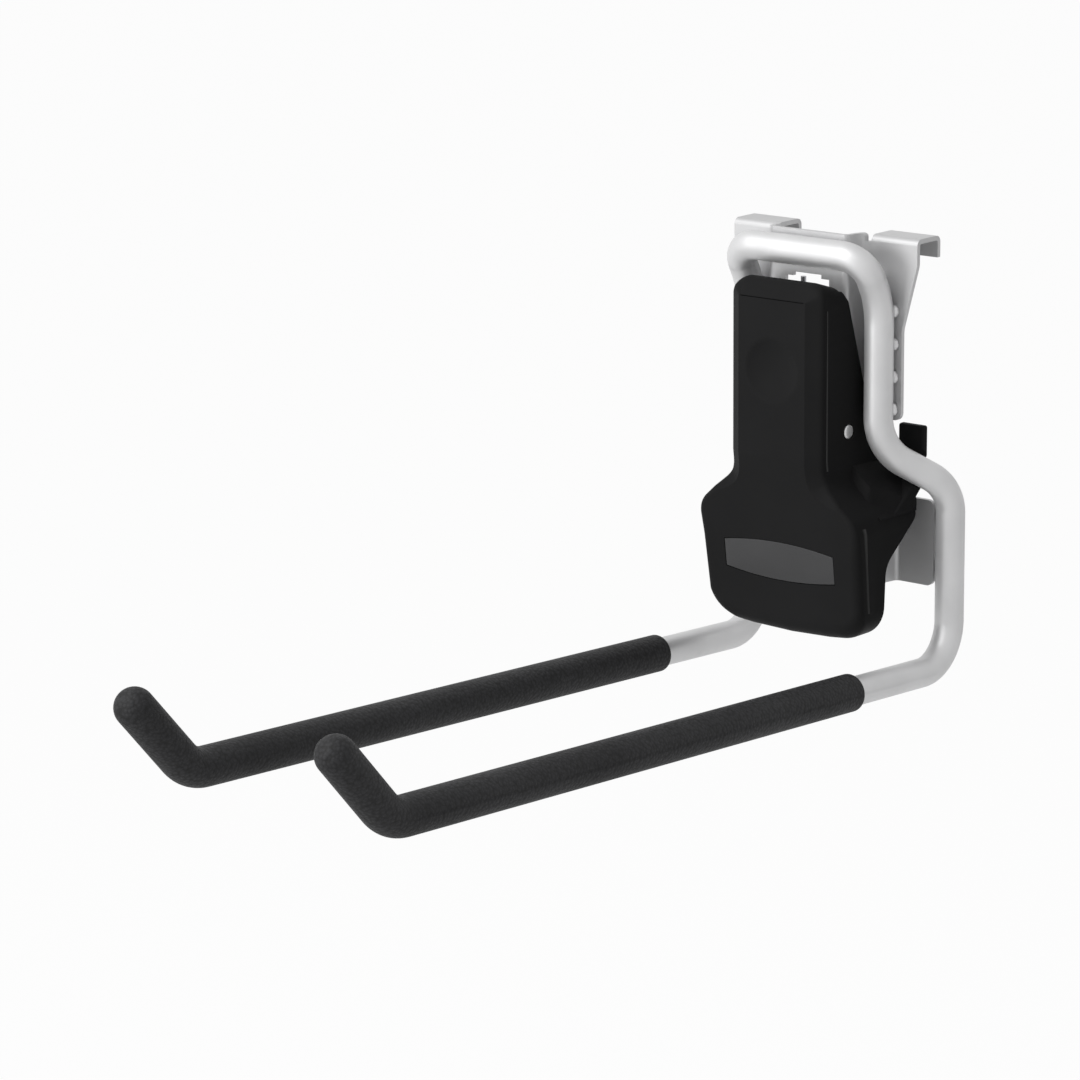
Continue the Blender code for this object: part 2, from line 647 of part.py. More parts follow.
def front_profile(inset, wall, height, upward):
    """Rounding of the front edge as (pull, depth), turned into the bevelled brow at the top."""
    radius = max(edge_radius(height) - inset, SMALL_EDGE)
    brow_height = BROW_HEIGHT - inset
    brow_depth = BROW_DEPTH - wall / 2
    share = upward ** BROW_FADE
    profile = []
    for step, (rise, run) in enumerate(BROW_SHAPE):
        angle = math.radians(30 * step)
        pull = radius * (1 - math.sin(angle)) * (1 - share) + brow_height * rise * share
        depth = radius * (1 - math.cos(angle)) * (1 - share) + brow_depth * run * share
        profile.append((inset + pull, wall + depth))
    return profile


def lever_body(name, inset, wall, back_shift, collection):
    """Closed loft between the lever's front and its back edge, drawn in by a wall."""
    table = lever_back_table()
    vertices = []
    rows = lever_outline()
    for point, normal in rows:
        right = []
        upward = top_share(point, normal)
        for pull, depth in front_profile(inset, wall, point.y, upward):
            spot = point - normal * pull
            right.append((max(spot.x, CHIN_SEAM), lever_front(spot.y) + depth, spot.y))
        back = interpolate(point.y, table) + back_shift
        spread = interpolate(point.y, ((PADDLE_NECK_Z, math.tan(CHEEK_DRAFT)), (PADDLE_SHOULDER_Z, 0)))
        draft = (back - lever_front(point.y)) * spread * abs(normal.x)
        spot = point - normal * (inset - draft)
        fall = TOP_FALL * upward ** 0.5
        right.append((max(spot.x, CHIN_SEAM), back, spot.y - fall))
        vertices += right + [(-x, y, z) for x, y, z in reversed(right)]
    width = len(vertices) // len(rows)
    faces = []
    for row in range(len(rows) - 1):
        for column in range(width):
            first = row * width + column
            second = row * width + (column + 1) % width
            faces.append((first, second, second + width, first + width))
    last = (len(rows) - 1) * width
    for column in range(width // 2 - 1):
        strip = (column, column + 1, width - 2 - column, width - 1 - column)
        faces.append(strip)
        faces.append(tuple(last + corner for corner in reversed(strip)))
    return mesh_object(name, vertices, faces, collection)


def shelf_z(x):
    """Height of a shoulder's outer surface at a distance from the middle."""
    share = (x - LEVER_HALF_WIDTH) / (PADDLE_HALF_WIDTH - LEVER_HALF_WIDTH)
    return PADDLE_NECK_Z + (PADDLE_SHOULDER_Z - PADDLE_NECK_Z) * share


def block_outline(side):
    """Block on a shoulder seen from the front: level beside the cheek, then down with the bar."""
    root = LEVER_HALF_WIDTH - CHEEK_WALL / 2
    flat = LEVER_HALF_WIDTH + BLOCK_FLAT
    outer = LEVER_HALF_WIDTH + BLOCK_REACH
    corners = (
        ((root, BLOCK_TOP_Z), 0),
        ((flat, BLOCK_TOP_Z), 2 * BLOCK_EDGE),
        ((outer, BLOCK_TOP_Z - (outer - flat)), BLOCK_EDGE),
        ((outer, shelf_z(outer) - CHEEK_WALL / 2), 0),
        ((root, shelf_z(root) - CHEEK_WALL / 2), 0),
    )
    points = [(side * x, z, 0) for (x, z), radius in corners]
    return closed_rounded(points, [radius for corner, radius in corners])


def arm_outline():
    """Arm seen from the side: out of the wing, over the heel and up the tab, as (y, z)."""
    corners = (
        ((-ARM_FORWARD, ARM_LOW_Z), 0),
        ((WING_SETBACK - CHEEK_WALL, ARM_LOW_Z), BLOCK_EDGE),
        ((WING_SETBACK, WING_TOP_Z), BLOCK_EDGE),
        ((TAB_BACK, HEEL_Z), TAB_THICKNESS),
        ((TAB_BACK, TAB_TOP_Z), BLOCK_EDGE),
        ((TAB_SETBACK, TAB_TOP_Z), BLOCK_EDGE),
        ((TAB_SETBACK, CROTCH_Z), TAB_THICKNESS),
        ((ARM_RISE - ARM_FORWARD, HEEL_Z), TAB_THICKNESS),
    )
    points = [(y, z, 0) for (y, z), radius in corners]
    return closed_rounded(points, [radius for corner, radius in corners])


def web_relief(collection):
    """Room behind the lever's top, so that it clears the web when it is pressed."""
    swing = (LEVER_TOP_Z - PIN_Z) * math.sin(LEVER_TRAVEL)
    inner = LEVER_HALF_WIDTH - CHEEK_WALL
    front = -WEB_FORWARD - swing - SWING_GAP
    square = [(-inner, CHEEK_TOP_Z - LEVER_EDGE, 0), (inner, CHEEK_TOP_Z - LEVER_EDGE, 0),
              (inner, REACH, 0), (-inner, REACH, 0)]
    return plate("web_relief", square, front, REACH, XZ_PLANE, collection)


def make_lever(parts, cutters, plastic):
    lever = lever_body("latch_lever", 0, 0, 0, parts)
    cavity = lever_body("lever_cavity", CHEEK_WALL, LEVER_WALL, LEVER_FORWARD, cutters)
    ball_radius = (DIMPLE_RADIUS ** 2 + DIMPLE_DEPTH ** 2) / (2 * DIMPLE_DEPTH)
    centre = Vector((0, -LEVER_FORWARD + DIMPLE_DEPTH - ball_radius, DIMPLE_Z))
    for name, radius, target in (("dimple_backing", ball_radius + LEVER_WALL, cavity),
                                 ("thumb_dimple", ball_radius, lever)):
        work = bmesh.new()
        bmesh.ops.create_uvsphere(work, u_segments=48, v_segments=32, radius=radius)
        bmesh.ops.rotate(work, verts=work.verts, matrix=Matrix.Rotation(math.radians(90), 3, "X"))
        mesh = bpy.data.meshes.new(name)
        work.to_mesh(mesh)
        work.free()
        ball = link(bpy.data.objects.new(name, mesh), cutters)
        ball.location = centre
        combine(target, ball, "DIFFERENCE")
    combine(lever, cavity, "DIFFERENCE")
    for side, label in ((-1, "left"), (1, "right")):
        block = plate(label + "_block", block_outline(side), -BLOCK_FORWARD, BLOCK_SETBACK, XZ_PLANE, cutters)
        combine(lever, block, "UNION")
        span = sorted((side * ARM_INNER_X, side * ARM_OUTER_X))
        arm = plate(label + "_arm", arm_outline(), *span, YZ_PLANE, cutters)
        combine(lever, arm, "UNION")
    combine(lever, web_relief(cutters), "DIFFERENCE")
    path = mirrored(bar_half())
    for step in range(3):
        space = as_mesh(tube("bar_space_%d" % step, path, BAR_RADIUS + BAR_CLEARANCE, cutters), cutters)
        turn = Matrix.Rotation(LEVER_TRAVEL * step / 2, 4, "X")
        space.matrix_world = Matrix.Translation(PIN_AXIS) @ turn @ Matrix.Translation(-PIN_AXIS)
        combine(lever, space, "DIFFERENCE")
    combine(lever, cylinder_x("lever_pin_holes", PIN_RADIUS + PIN_CLEARANCE, REACH / 4, PIN_AXIS, cutters),
            "DIFFERENCE")
    seat = badge_plate("badge_seat", SEAT_GAP, BADGE_THICKNESS, cutters)
    combine(lever, seat, "DIFFERENCE")
    lever.data.materials.append(plastic)
    shade(lever)
    return lever


def badge_plate(name, margin, depth, collection):
    """Lens with cut ends, laid into the leaning front of the paddle."""
    bulge = (BADGE_MIDDLE_HEIGHT - BADGE_END_HEIGHT) / 2
    count = 12
    upper = []
    for step in range(count + 1):
        share = 1 - 2 * step / count
        height = BADGE_END_HEIGHT / 2 + bulge * (1 - share ** 2)
        upper.append((share * (BADGE_HALF_WIDTH + margin), height + margin, 0))
    outline = upper + [(-x, -z, 0) for x, z, flat in upper]
    badge = plate(name, outline, -margin, depth, XZ_PLANE, collection)
    lean = math.atan2(PADDLE_LEAN_BACK, PADDLE_LEAN_HEIGHT)
    front = Vector((0, lever_front(BADGE_Z), BADGE_Z))
    badge.matrix_world = Matrix.Translation(front) @ Matrix.Rotation(lean, 4, "X") @ badge.matrix_world
    return badge


def make_badge(parts, grey):
    badge = badge_plate("badge_plate", 0, BADGE_THICKNESS - SEAT_GAP, parts)
    badge.data.materials.append(grey)
    return badge


# Pivot pin, spring and welds

def make_pin(parts, steel):
    pin = cylinder_x("pivot_pin", PIN_RADIUS, LEVER_HALF_WIDTH, PIN_AXIS, parts)
    bevel = pin.modifiers.new("Bevel", "BEVEL")
    bevel.width = 0.3 * MM
    bevel.segments = 2
    bevel.angle_limit = math.radians(50)
    bevel.limit_method = "ANGLE"
    pin.data.materials.append(steel)
    shade(pin)
    return pin


def make_spring(parts, steel):
    """Torsion spring round the pin: one leg in the web's window, one against the lever."""
    radius = PIN_RADIUS + SPRING_FREE_SIDE + SPRING_WIRE / 2
    pitch = SPRING_WIRE * 1.15
    steps = 14
    rear_leg = [
        Vector((SPRING_LEG_X, -WEB_FORWARD + SHEET / 2, WINDOW_TOP_Z)),
        Vector((SPRING_LEG_X, -WEB_FORWARD + SHEET / 2, PIN_Z + 3 * radius)),
        Vector((SPRING_LEG_X, PIN_AXIS.y + radius, PIN_Z + radius)),
    ]
    coil = []
    for index in range(SPRING_TURNS * steps + steps // 2 + 1):
        angle = -2 * math.pi * index / steps
        x = SPRING_LEG_X + pitch * index / steps
        coil.append(Vector((x, PIN_AXIS.y + radius * math.cos(angle), PIN_Z + radius * math.sin(angle))))
    inner_front = -LEVER_FORWARD + LEVER_WALL + SEAT_GAP + SPRING_WIRE / 2
    front_leg = [
        Vector((coil[-1].x, PIN_AXIS.y - radius, PIN_Z + radius)),
        Vector((coil[-1].x, inner_front, PIN_Z + 4 * EAR_RADIUS)),
        Vector((coil[-1].x, inner_front, PIN_Z + 5 * EAR_RADIUS)),
    ]
    spring = tube("return_spring", rear_leg + coil + front_leg, SPRING_WIRE / 2, parts, roundness=2)
    spring.data.materials.append(steel)
    return spring


def make_bead(name, place, bar_axis, sheet_side, parts, cutters, steel):
    """Fillet weld bead in the corner between the bar and the sheet, cut clear of both."""
    work = bmesh.new()
    bmesh.ops.create_uvsphere(work, u_segments=12, v_segments=8, radius=BEAD_RADIUS)
    bmesh.ops.scale(work, verts=work.verts, vec=(1, 1, BEAD_HALF_LENGTH / BEAD_RADIUS))
    mesh = bpy.data.meshes.new(name)
    work.to_mesh(mesh)
    work.free()
    bead = link(bpy.data.objects.new(name, mesh), parts)
    bead.location = place
    span = 3 * BEAD_HALF_LENGTH
    ends = [Vector((*bar_axis, place.z - span)), Vector((*bar_axis, place.z + span))]
    bar_side = as_mesh(tube(name + "_bar_side", ends, BAR_RADIUS + SEAT_GAP, cutters), cutters)
    combine(bead, bar_side, "DIFFERENCE")
    combine(bead, sheet_side, "DIFFERENCE")
    bead.data.materials.append(steel)
    shade(bead)
    return bead


def make_beads(parts, cutters, steel):
    square = [(-REACH, -REACH, 0), (REACH, -REACH, 0), (REACH, REACH, 0), (-REACH, REACH, 0)]
    flange = plate("flange_side", square, -SHEET - SEAT_GAP, REACH, XZ_PLANE, cutters)
    foot = plate("foot_side", square, -REACH, FOOT_SETBACK + SHEET + SEAT_GAP, XZ_PLANE, cutters)
    upper_x = LOOP_HALF_WIDTH + UPPER_BEAD_SHIFT
    lower_x = FOOT_HALF_WIDTH - LOWER_BEAD_SHIFT
    for side, label in ((-1, "left"), (1, "right")):
        for index, height in enumerate(UPPER_BEAD_Z):
            place = Vector((side * upper_x, -SHEET - BEAD_STAND, height))
            make_bead("weld_bead_%s_%d" % (label, index + 1), place, (side * LOOP_HALF_WIDTH, LEG_Y),
                      flange, parts, cutters, steel)
        for index, height in enumerate(LOWER_BEAD_Z):
            place = Vector((side * lower_x, FOOT_SETBACK + SHEET + BEAD_STAND, height))
            make_bead("foot_weld_%s_%d" % (label, index + 1), place, (side * PRONG_HALF_SPACING, LEG_SETBACK),
                      foot, parts, cutters, steel)


clear_scene()
parts = new_collection("utility_hook")
cutters = new_collection("cutters")
steel = new_material("satin_steel", (0.62, 0.62, 0.62), 0.38, 0.9)
spring_steel = new_material("spring_steel", (0.45, 0.45, 0.46), 0.4, 1.0)
grip = new_material("pebbled_grip", (0.06, 0.06, 0.06), 0.75, 0.0)
plastic = new_material("black_plastic", (0.015, 0.015, 0.015), 0.45, 0.0)
grey = new_material("grey_plastic", (0.06, 0.06, 0.06), 0.5, 0.0)

make_bar(parts, steel)
make_sleeve("left_grip_sleeve", -1, parts, cutters, grip)
make_sleeve("right_grip_sleeve", 1, parts, cutters, grip)
make_bracket(parts, cutters, steel)
make_lever(parts, cutters, plastic)
make_badge(parts, grey)
make_pin(parts, steel)
make_spring(parts, spring_steel)
make_beads(parts, cutters, steel)
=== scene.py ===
# Looks of the utility hook: a bent steel bar with two sleeved prongs, welded to a stamped bracket
# that hangs on a wall rail, with a moulded latch lever on a sprung pin. Lengths are in millimetres
# until a mesh is made. X is to the right seen from the front, -Y out of the wall, Z up.

import math

import bmesh
import bpy
import numpy as np
from mathutils import Matrix, Vector


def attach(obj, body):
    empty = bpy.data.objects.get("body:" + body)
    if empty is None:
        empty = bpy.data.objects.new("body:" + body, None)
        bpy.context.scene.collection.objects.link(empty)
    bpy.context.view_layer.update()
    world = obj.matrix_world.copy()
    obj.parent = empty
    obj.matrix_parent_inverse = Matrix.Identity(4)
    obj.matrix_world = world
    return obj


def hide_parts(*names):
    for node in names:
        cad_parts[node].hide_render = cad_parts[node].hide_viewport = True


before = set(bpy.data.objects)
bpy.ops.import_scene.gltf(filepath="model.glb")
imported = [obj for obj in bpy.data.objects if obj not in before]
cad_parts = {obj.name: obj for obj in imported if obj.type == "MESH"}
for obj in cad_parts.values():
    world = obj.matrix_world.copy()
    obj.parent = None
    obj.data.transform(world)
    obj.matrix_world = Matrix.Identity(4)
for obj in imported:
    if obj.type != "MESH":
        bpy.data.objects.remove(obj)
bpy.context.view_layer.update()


# Steel bar
# One length of round steel bar, bent cold into a loop, two jogged legs and two long prongs whose
# tips turn up. It is satin zinc plated: light silver, with the fine even grain of the plating.

MM = 0.001
BAR_RADIUS = 9.525 / 2
SHEET = 1.5
BAR_GAP = 0.3
LEG_Y = -(SHEET + BAR_GAP + BAR_RADIUS)
UPPER_LEG_X, LOOP_FORWARD = 25.6, 8.7
LOOP_TOP_Z, LOOP_FOOT_Z = -3.7, -19.2
JOG_TOP_Z, JOG_FOOT_Z = -66.7, -81.6
PRONG_ROOT = np.array((39.05, 15.3, -141.3))
PRONG_RISE = math.radians(2.95)
TIP_RISE = PRONG_RISE + math.radians(45)
PRONG_WAY = np.array((0, -math.cos(PRONG_RISE), math.sin(PRONG_RISE)))
TIP_WAY = np.array((0, -math.cos(TIP_RISE), math.sin(TIP_RISE)))
PRONG_LENGTH, TIP_LENGTH = 273.9, 31.8
TIP_BEND = PRONG_ROOT + PRONG_WAY * PRONG_LENGTH
BAR_END = TIP_BEND + TIP_WAY * TIP_LENGTH
TIP_RADIUS = 15
BEND_RADII = (8.4, 28, 18, 14.6, 14.7, TIP_RADIUS)
BAR_ACROSS = math.radians(54.5)
END_REACH, END_DRAW = 0.3, 0.75
BAR_COLOUR, BAR_DARK = (0.74, 0.74, 0.745), (0.70, 0.70, 0.705)


def bent_line(corners, radii, pitch=1.5, turn_pitch=0.8):
    """Straight runs joined by arcs.

    At a corner whose unit directions to its neighbours are a and b, with half the angle between
    them h, the arc's centre is corner + (a + b) / |a + b| * r / sin h. With s and e the radii to
    the arc's ends and T the angle it turns, a point on it is centre + (s sin(T - t) + e sin t) / sin T.
    Straight runs are divided evenly into steps no longer than the pitch.
    """
    corners = np.array(corners, float)
    runs = [corners[:1]]
    for before, corner, after, radius in zip(corners, corners[1:], corners[2:], radii):
        a = (before - corner) / np.linalg.norm(before - corner)
        b = (after - corner) / np.linalg.norm(after - corner)
        turn = math.pi - math.acos(np.clip(a @ b, -1, 1))
        if radius == 0 or turn < 1e-4:
            runs.append(corner[None])
            continue
        half = (math.pi - turn) / 2
        centre = corner + (a + b) / np.linalg.norm(a + b) * radius / math.sin(half)
        start, end = (corner + way * radius / math.tan(half) - centre for way in (a, b))
        t = np.linspace(0, turn, max(3, math.ceil(turn * radius / turn_pitch) + 1))[:, None]
        runs.append(centre + (start * np.sin(turn - t) + end * np.sin(t)) / math.sin(turn))
    runs.append(corners[-1:])
    line = [runs[0]]
    for before, run in zip(runs, runs[1:]):
        steps = max(1, math.ceil(np.linalg.norm(run[0] - before[-1]) / pitch))
        shares = np.linspace(0, 1, steps + 1)[1:-1, None]
        line += [before[-1] + (run[0] - before[-1]) * shares, run]
    return np.concatenate(line)


def carried(path, radii, across, sides=40):
    """Circle carried along a path.

    With t the path's direction at point i, side = t x across and up = side x t, both made unit
    length, the surface is P(i, a) = path_i + r_i (cos a side + sin a up) for a from 0 to 2 pi.
    """
    way = np.gradient(path, axis=0)
    side = np.cross(way, across)
    side /= np.linalg.norm(side, axis=1)[:, None]
    up = np.cross(side, way)
    up /= np.linalg.norm(up, axis=1)[:, None]
    a = np.linspace(0, 2 * math.pi, sides + 1)[None, :, None]
    ring = np.cos(a) * side[:, None] + np.sin(a) * up[:, None]
    radii = np.broadcast_to(radii, len(path))[:, None, None]
    return path[:, None] + radii * ring


def surface(name, grids, caps=(), sharp=35):
    """Mesh of grids of points: point (i, j) joins (i + 1, j) and (i, j + 1), and points that meet
    are welded. A cap is one flat face on a closed loop of points."""
    points, faces, base = [], [], 0
    for grid in grids:
        rows, columns = grid.shape[:2]
        index = base + np.arange(rows * columns).reshape(rows, columns)
        quads = np.stack([index[:-1, :-1], index[:-1, 1:], index[1:, 1:], index[1:, :-1]], -1)
        faces += quads.reshape(-1, 4).tolist()
        points.append(grid.reshape(-1, 3))
        base += rows * columns
    for loop in caps:
        faces.append(list(range(base, base + len(loop))))
        points.append(loop)
        base += len(loop)
    mesh = bpy.data.meshes.new(name)
    mesh.from_pydata((np.concatenate(points) * MM).tolist(), [], faces)
    work = bmesh.new()
    work.from_mesh(mesh)
    bmesh.ops.remove_doubles(work, verts=work.verts, dist=0.002 * MM)
    bmesh.ops.recalc_face_normals(work, faces=work.faces)
    work.to_mesh(mesh)
    work.free()
    piece = bpy.data.objects.new(name, mesh)
    bpy.context.scene.collection.objects.link(piece)
    smooth(piece, sharp)
    return piece


def smooth(piece, sharp=35):
    """Smooth shading, but for edges that turn by more than sharp degrees."""
    piece.data.shade_smooth()
    piece.data.set_sharp_from_angle(angle=math.radians(sharp))


def node_group(name, inputs, outputs):
    """Empty shader node group with its sockets made: (name, type, default) in, (name, type) out."""
    group = bpy.data.node_groups.new(name, "ShaderNodeTree")
    for label, kind, default in inputs:
        socket = group.interface.new_socket(label, in_out="INPUT", socket_type="NodeSocket" + kind)
        socket.default_value = default
    for label, kind in outputs:
        group.interface.new_socket(label, in_out="OUTPUT", socket_type="NodeSocket" + kind)
    return group, group.nodes.new("NodeGroupInput"), group.nodes.new("NodeGroupOutput")


def grain_group():
    """Fine grain over slow mottling, both from noise on the object's own coordinates.

    Colour is the mix of the two colours by the mottling, Roughness runs between its two values
    with the same mottling, and Height is the fine grain for a Bump node.
    """
    white = (1, 1, 1, 1)
    group, given, made = node_group(
        "plated_grain",
        (("Colour", "Color", white), ("Other Colour", "Color", white), ("Mottle Scale", "Float", 60),
         ("Grain Scale", "Float", 1500), ("Roughness", "Float", 0.3), ("Rough Spread", "Float", 0.1)),
        (("Colour", "Color"), ("Roughness", "Float"), ("Height", "Float")))
    nodes, links = group.nodes, group.links
    place = nodes.new("ShaderNodeTexCoord")
    mottle = nodes.new("ShaderNodeTexNoise")
    mottle.inputs["Detail"].default_value = 4
    grain = nodes.new("ShaderNodeTexNoise")
    grain.inputs["Detail"].default_value = 2
    for noise, scale in ((mottle, "Mottle Scale"), (grain, "Grain Scale")):
        links.new(place.outputs["Object"], noise.inputs["Vector"])
        links.new(given.outputs[scale], noise.inputs["Scale"])
    contrast = nodes.new("ShaderNodeMapRange")
    contrast.inputs["From Min"].default_value = 0.35
    contrast.inputs["From Max"].default_value = 0.65
    links.new(mottle.outputs["Fac"], contrast.inputs["Value"])
    colour = nodes.new("ShaderNodeMix")
    colour.data_type = "RGBA"
    links.new(contrast.outputs["Result"], colour.inputs["Factor"])
    links.new(given.outputs["Colour"], colour.inputs["A"])
    links.new(given.outputs["Other Colour"], colour.inputs["B"])
    rough = nodes.new("ShaderNodeMath")
    rough.operation = "MULTIPLY_ADD"
    links.new(contrast.outputs["Result"], rough.inputs[0])
    links.new(given.outputs["Rough Spread"], rough.inputs[1])
    links.new(given.outputs["Roughness"], rough.inputs[2])
    links.new(colour.outputs["Result"], made.inputs["Colour"])
    links.new(rough.outputs["Value"], made.inputs["Roughness"])
    links.new(grain.outputs["Fac"], made.inputs["Height"])
    return group


PLATED_GRAIN = grain_group()


def finish_of(name, colour, other, metallic, roughness, spread=0.08, mottle=60, grain=1500, bump=0.1,
              depth=0.02, specular=0.5):
    """Material with the grain group in it. depth is the bump's distance in millimetres."""
    material = bpy.data.materials.new(name)
    material.use_nodes = True
    nodes, links = material.node_tree.nodes, material.node_tree.links
    shader = nodes["Principled BSDF"]
    shader.inputs["Metallic"].default_value = metallic
    shader.inputs["Specular IOR Level"].default_value = specular
    texture = nodes.new("ShaderNodeGroup")
    texture.node_tree = PLATED_GRAIN
    values = {"Colour": (*colour, 1), "Other Colour": (*other, 1), "Mottle Scale": mottle,
              "Grain Scale": grain, "Roughness": roughness, "Rough Spread": spread}
    for label, value in values.items():
        texture.inputs[label].default_value = value
    relief = nodes.new("ShaderNodeBump")
    relief.inputs["Strength"].default_value = bump
    relief.inputs["Distance"].default_value = depth * MM
    links.new(texture.outputs["Colour"], shader.inputs["Base Color"])
    links.new(texture.outputs["Roughness"], shader.inputs["Roughness"])
    links.new(texture.outputs["Height"], relief.inputs["Height"])
    links.new(relief.outputs["Normal"], shader.inputs["Normal"])
    return material


def fitted(piece, material, body, node=None):
    """Gives a piece its finish and the body it moves with, and hides the solid that it stands for."""
    piece.data.materials.clear()
    piece.data.materials.append(material)
    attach(piece, body)
    if node:
        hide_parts(node)


def bar_path():
    """The right half from the middle of the loop to the tip, with its mirror image before it."""
    loop_y = LEG_Y - LOOP_FORWARD
    corners = ((0, loop_y, LOOP_TOP_Z), (UPPER_LEG_X, loop_y, LOOP_TOP_Z),
               (UPPER_LEG_X, LEG_Y, LOOP_FOOT_Z), (UPPER_LEG_X, LEG_Y, JOG_TOP_Z),
               (*PRONG_ROOT[:2], JOG_FOOT_Z), PRONG_ROOT, TIP_BEND, BAR_END)
    right = bent_line(corners, BEND_RADII)
    return np.vstack([right[:0:-1] * (-1, 1, 1), right])


def bar_surface(name, radius, sides=40):
    """Circle carried along the bar's path, across a line that no stretch of the bar runs along. Each
    end is bevelled, drawn in to three quarters of the radius, and closed by a flat disc."""
    grid = carried(bar_path(), radius, (0, -math.cos(BAR_ACROSS), math.sin(BAR_ACROSS)), sides)
    ends = []
    for ring, way in ((grid[:1], grid[0] - grid[1]), (grid[-1:], grid[-1] - grid[-2])):
        centre = ring[:, :-1].mean(axis=1, keepdims=True)
        out = way.mean(0) * END_REACH
        ends.append(np.concatenate([ring, centre + (ring - centre) * END_DRAW + out,
                                    np.repeat(centre + out, ring.shape[1], 1)]))
    return surface(name, [grid] + ends)


bar_finish = finish_of("satin_zinc_bar", BAR_COLOUR, BAR_DARK, 0.5, 0.45)
fitted(bar_surface("steel_bar", BAR_RADIUS), bar_finish, "frame", "hook_bar")


# Grip sleeves
# Soft vinyl sleeves pushed over the prongs and their turned-up tips, dark grey, closed at the tip
# with a round end. Their skin has a fine pebbled grain that scatters the light.

BORE_GAP, SLEEVE_WALL = 0.3, 1.07
SLEEVE_BORE = BAR_RADIUS + BORE_GAP
SLEEVE_RADIUS = SLEEVE_BORE + SLEEVE_WALL
SLEEVE_START = 54.7
SLEEVE_RIM = 0.8
# The last of these colours is painted shade for the crevices between pebbles.
VINYL, VINYL_DARK, CREVICE_SHADE = (0.027, 0.027, 0.029), (0.022, 0.022, 0.0235), (0.009, 0.009, 0.0095)
PEBBLE_DEPTH = 0.25


def sleeve(name, side):
    """Circle carried along the prong: a quarter-round rim, the sleeve, then a half-round end, where
    the axis runs on by r sin e while the radius falls as r cos e. The bore is the same path inside."""
    start = PRONG_ROOT + PRONG_WAY * SLEEVE_START
    middle = bent_line((start, TIP_BEND, BAR_END), (TIP_RADIUS,))
    e = np.linspace(0, math.pi / 2, 9)[:, None]
    rim = start + PRONG_WAY * SLEEVE_RIM * (1 - np.cos(e))
    rim_radii = SLEEVE_RADIUS - SLEEVE_RIM * (1 - np.sin(e[:, 0]))
    e = np.linspace(0, math.pi / 2, 17)[1:, None]
    dome = BAR_END + TIP_WAY * SLEEVE_RADIUS * np.sin(e)
    path = np.vstack([rim, middle[1:], dome]) * (side, 1, 1)
    radii = np.concatenate([rim_radii, np.full(len(middle) - 1, SLEEVE_RADIUS),
                            SLEEVE_RADIUS * np.cos(e[:, 0])])
    outer = carried(path, radii, (side, 0, 0), 48)
    bore_end = BAR_END + TIP_WAY * BORE_GAP
    bore_path = np.vstack([rim[:1], middle[1:], bore_end, bore_end + TIP_WAY * 0.1]) * (side, 1, 1)
    bore_radii = np.full(len(bore_path), SLEEVE_BORE)
    bore_radii[-1] = 0
    bore = carried(bore_path, bore_radii, (side, 0, 0), 48)
    mouth = np.stack([outer[0], bore[0]])
    return surface(name, [outer, bore, mouth], sharp=60)


def pebbled_group():
    """Pebbled skin: rounded cells of uneven size, from the distance to the nearest of many scattered
    points, broken up by noise. Height is high in a pebble's middle, and the crevice output is 1
    between pebbles, where the finish paints shade."""
    group, given, made = node_group(
        "pebbled_skin", (("Scale", "Float", 900), ("Jitter", "Float", 0.25)),
        (("Height", "Float"), ("Crevice Shade", "Float")))
    nodes, links = group.nodes, group.links
    place = nodes.new("ShaderNodeTexCoord")
    cells = nodes.new("ShaderNodeTexVoronoi")
    cells.feature = "SMOOTH_F1"
    cells.inputs["Smoothness"].default_value = 0.4
    noise = nodes.new("ShaderNodeTexNoise")
    noise.inputs["Detail"].default_value = 3
    links.new(place.outputs["Object"], cells.inputs["Vector"])
    links.new(place.outputs["Object"], noise.inputs["Vector"])
    links.new(given.outputs["Scale"], cells.inputs["Scale"])
    links.new(given.outputs["Scale"], noise.inputs["Scale"])
    height = nodes.new("ShaderNodeMath")
    height.operation = "MULTIPLY_ADD"
    links.new(noise.outputs["Fac"], height.inputs[0])
    links.new(given.outputs["Jitter"], height.inputs[1])
    flip = nodes.new("ShaderNodeMath")
    flip.operation = "SUBTRACT"
    flip.inputs[0].default_value = 1
    links.new(cells.outputs["Distance"], flip.inputs[1])
    links.new(flip.outputs["Value"], height.inputs[2])
    crevice_shade = nodes.new("ShaderNodeMapRange")
    crevice_shade.inputs["From Min"].default_value = 0.35
    crevice_shade.inputs["From Max"].default_value = 0.75
    links.new(cells.outputs["Distance"], crevice_shade.inputs["Value"])
    links.new(height.outputs["Value"], made.inputs["Height"])
    links.new(crevice_shade.outputs["Result"], made.inputs["Crevice Shade"])
    return group


PEBBLED_SKIN = pebbled_group()


def tinted(material, mask, colour):
    """Mixes a second colour into a finish where the mask is 1."""
    nodes, links = material.node_tree.nodes, material.node_tree.links
    mix = nodes.new("ShaderNodeMix")
    mix.data_type = "RGBA"
    mix.inputs["B"].default_value = (*colour, 1)
    links.new(mask, mix.inputs["Factor"])
    links.new(next(node for node in nodes if node.type == "GROUP").outputs["Colour"], mix.inputs["A"])
    links.new(mix.outputs["Result"], nodes["Principled BSDF"].inputs["Base Color"])


def grip_material():
    """Vinyl whose bump is the pebbles' height, with painted shade darkening the crevices between them."""
    material = finish_of("pebbled_vinyl", VINYL, VINYL_DARK, 0, 0.62, mottle=25, specular=0.3)
    nodes, links = material.node_tree.nodes, material.node_tree.links
    skin = nodes.new("ShaderNodeGroup")
    skin.node_tree = PEBBLED_SKIN
    relief = next(node for node in nodes if node.type == "BUMP")
    relief.inputs["Strength"].default_value = 0.8
    relief.inputs["Distance"].default_value = PEBBLE_DEPTH * MM
    links.new(skin.outputs["Height"], relief.inputs["Height"])
    # Painted shade: the crevices between the pebbles are darkened in colour.
    tinted(material, skin.outputs["Crevice Shade"], CREVICE_SHADE)
    return material


grip_finish = grip_material()
for side, label in ((-1, "left"), (1, "right")):
    grip = sleeve(label + "_vinyl_sleeve", side)
    fitted(grip, grip_finish, "frame", label + "_grip_sleeve")


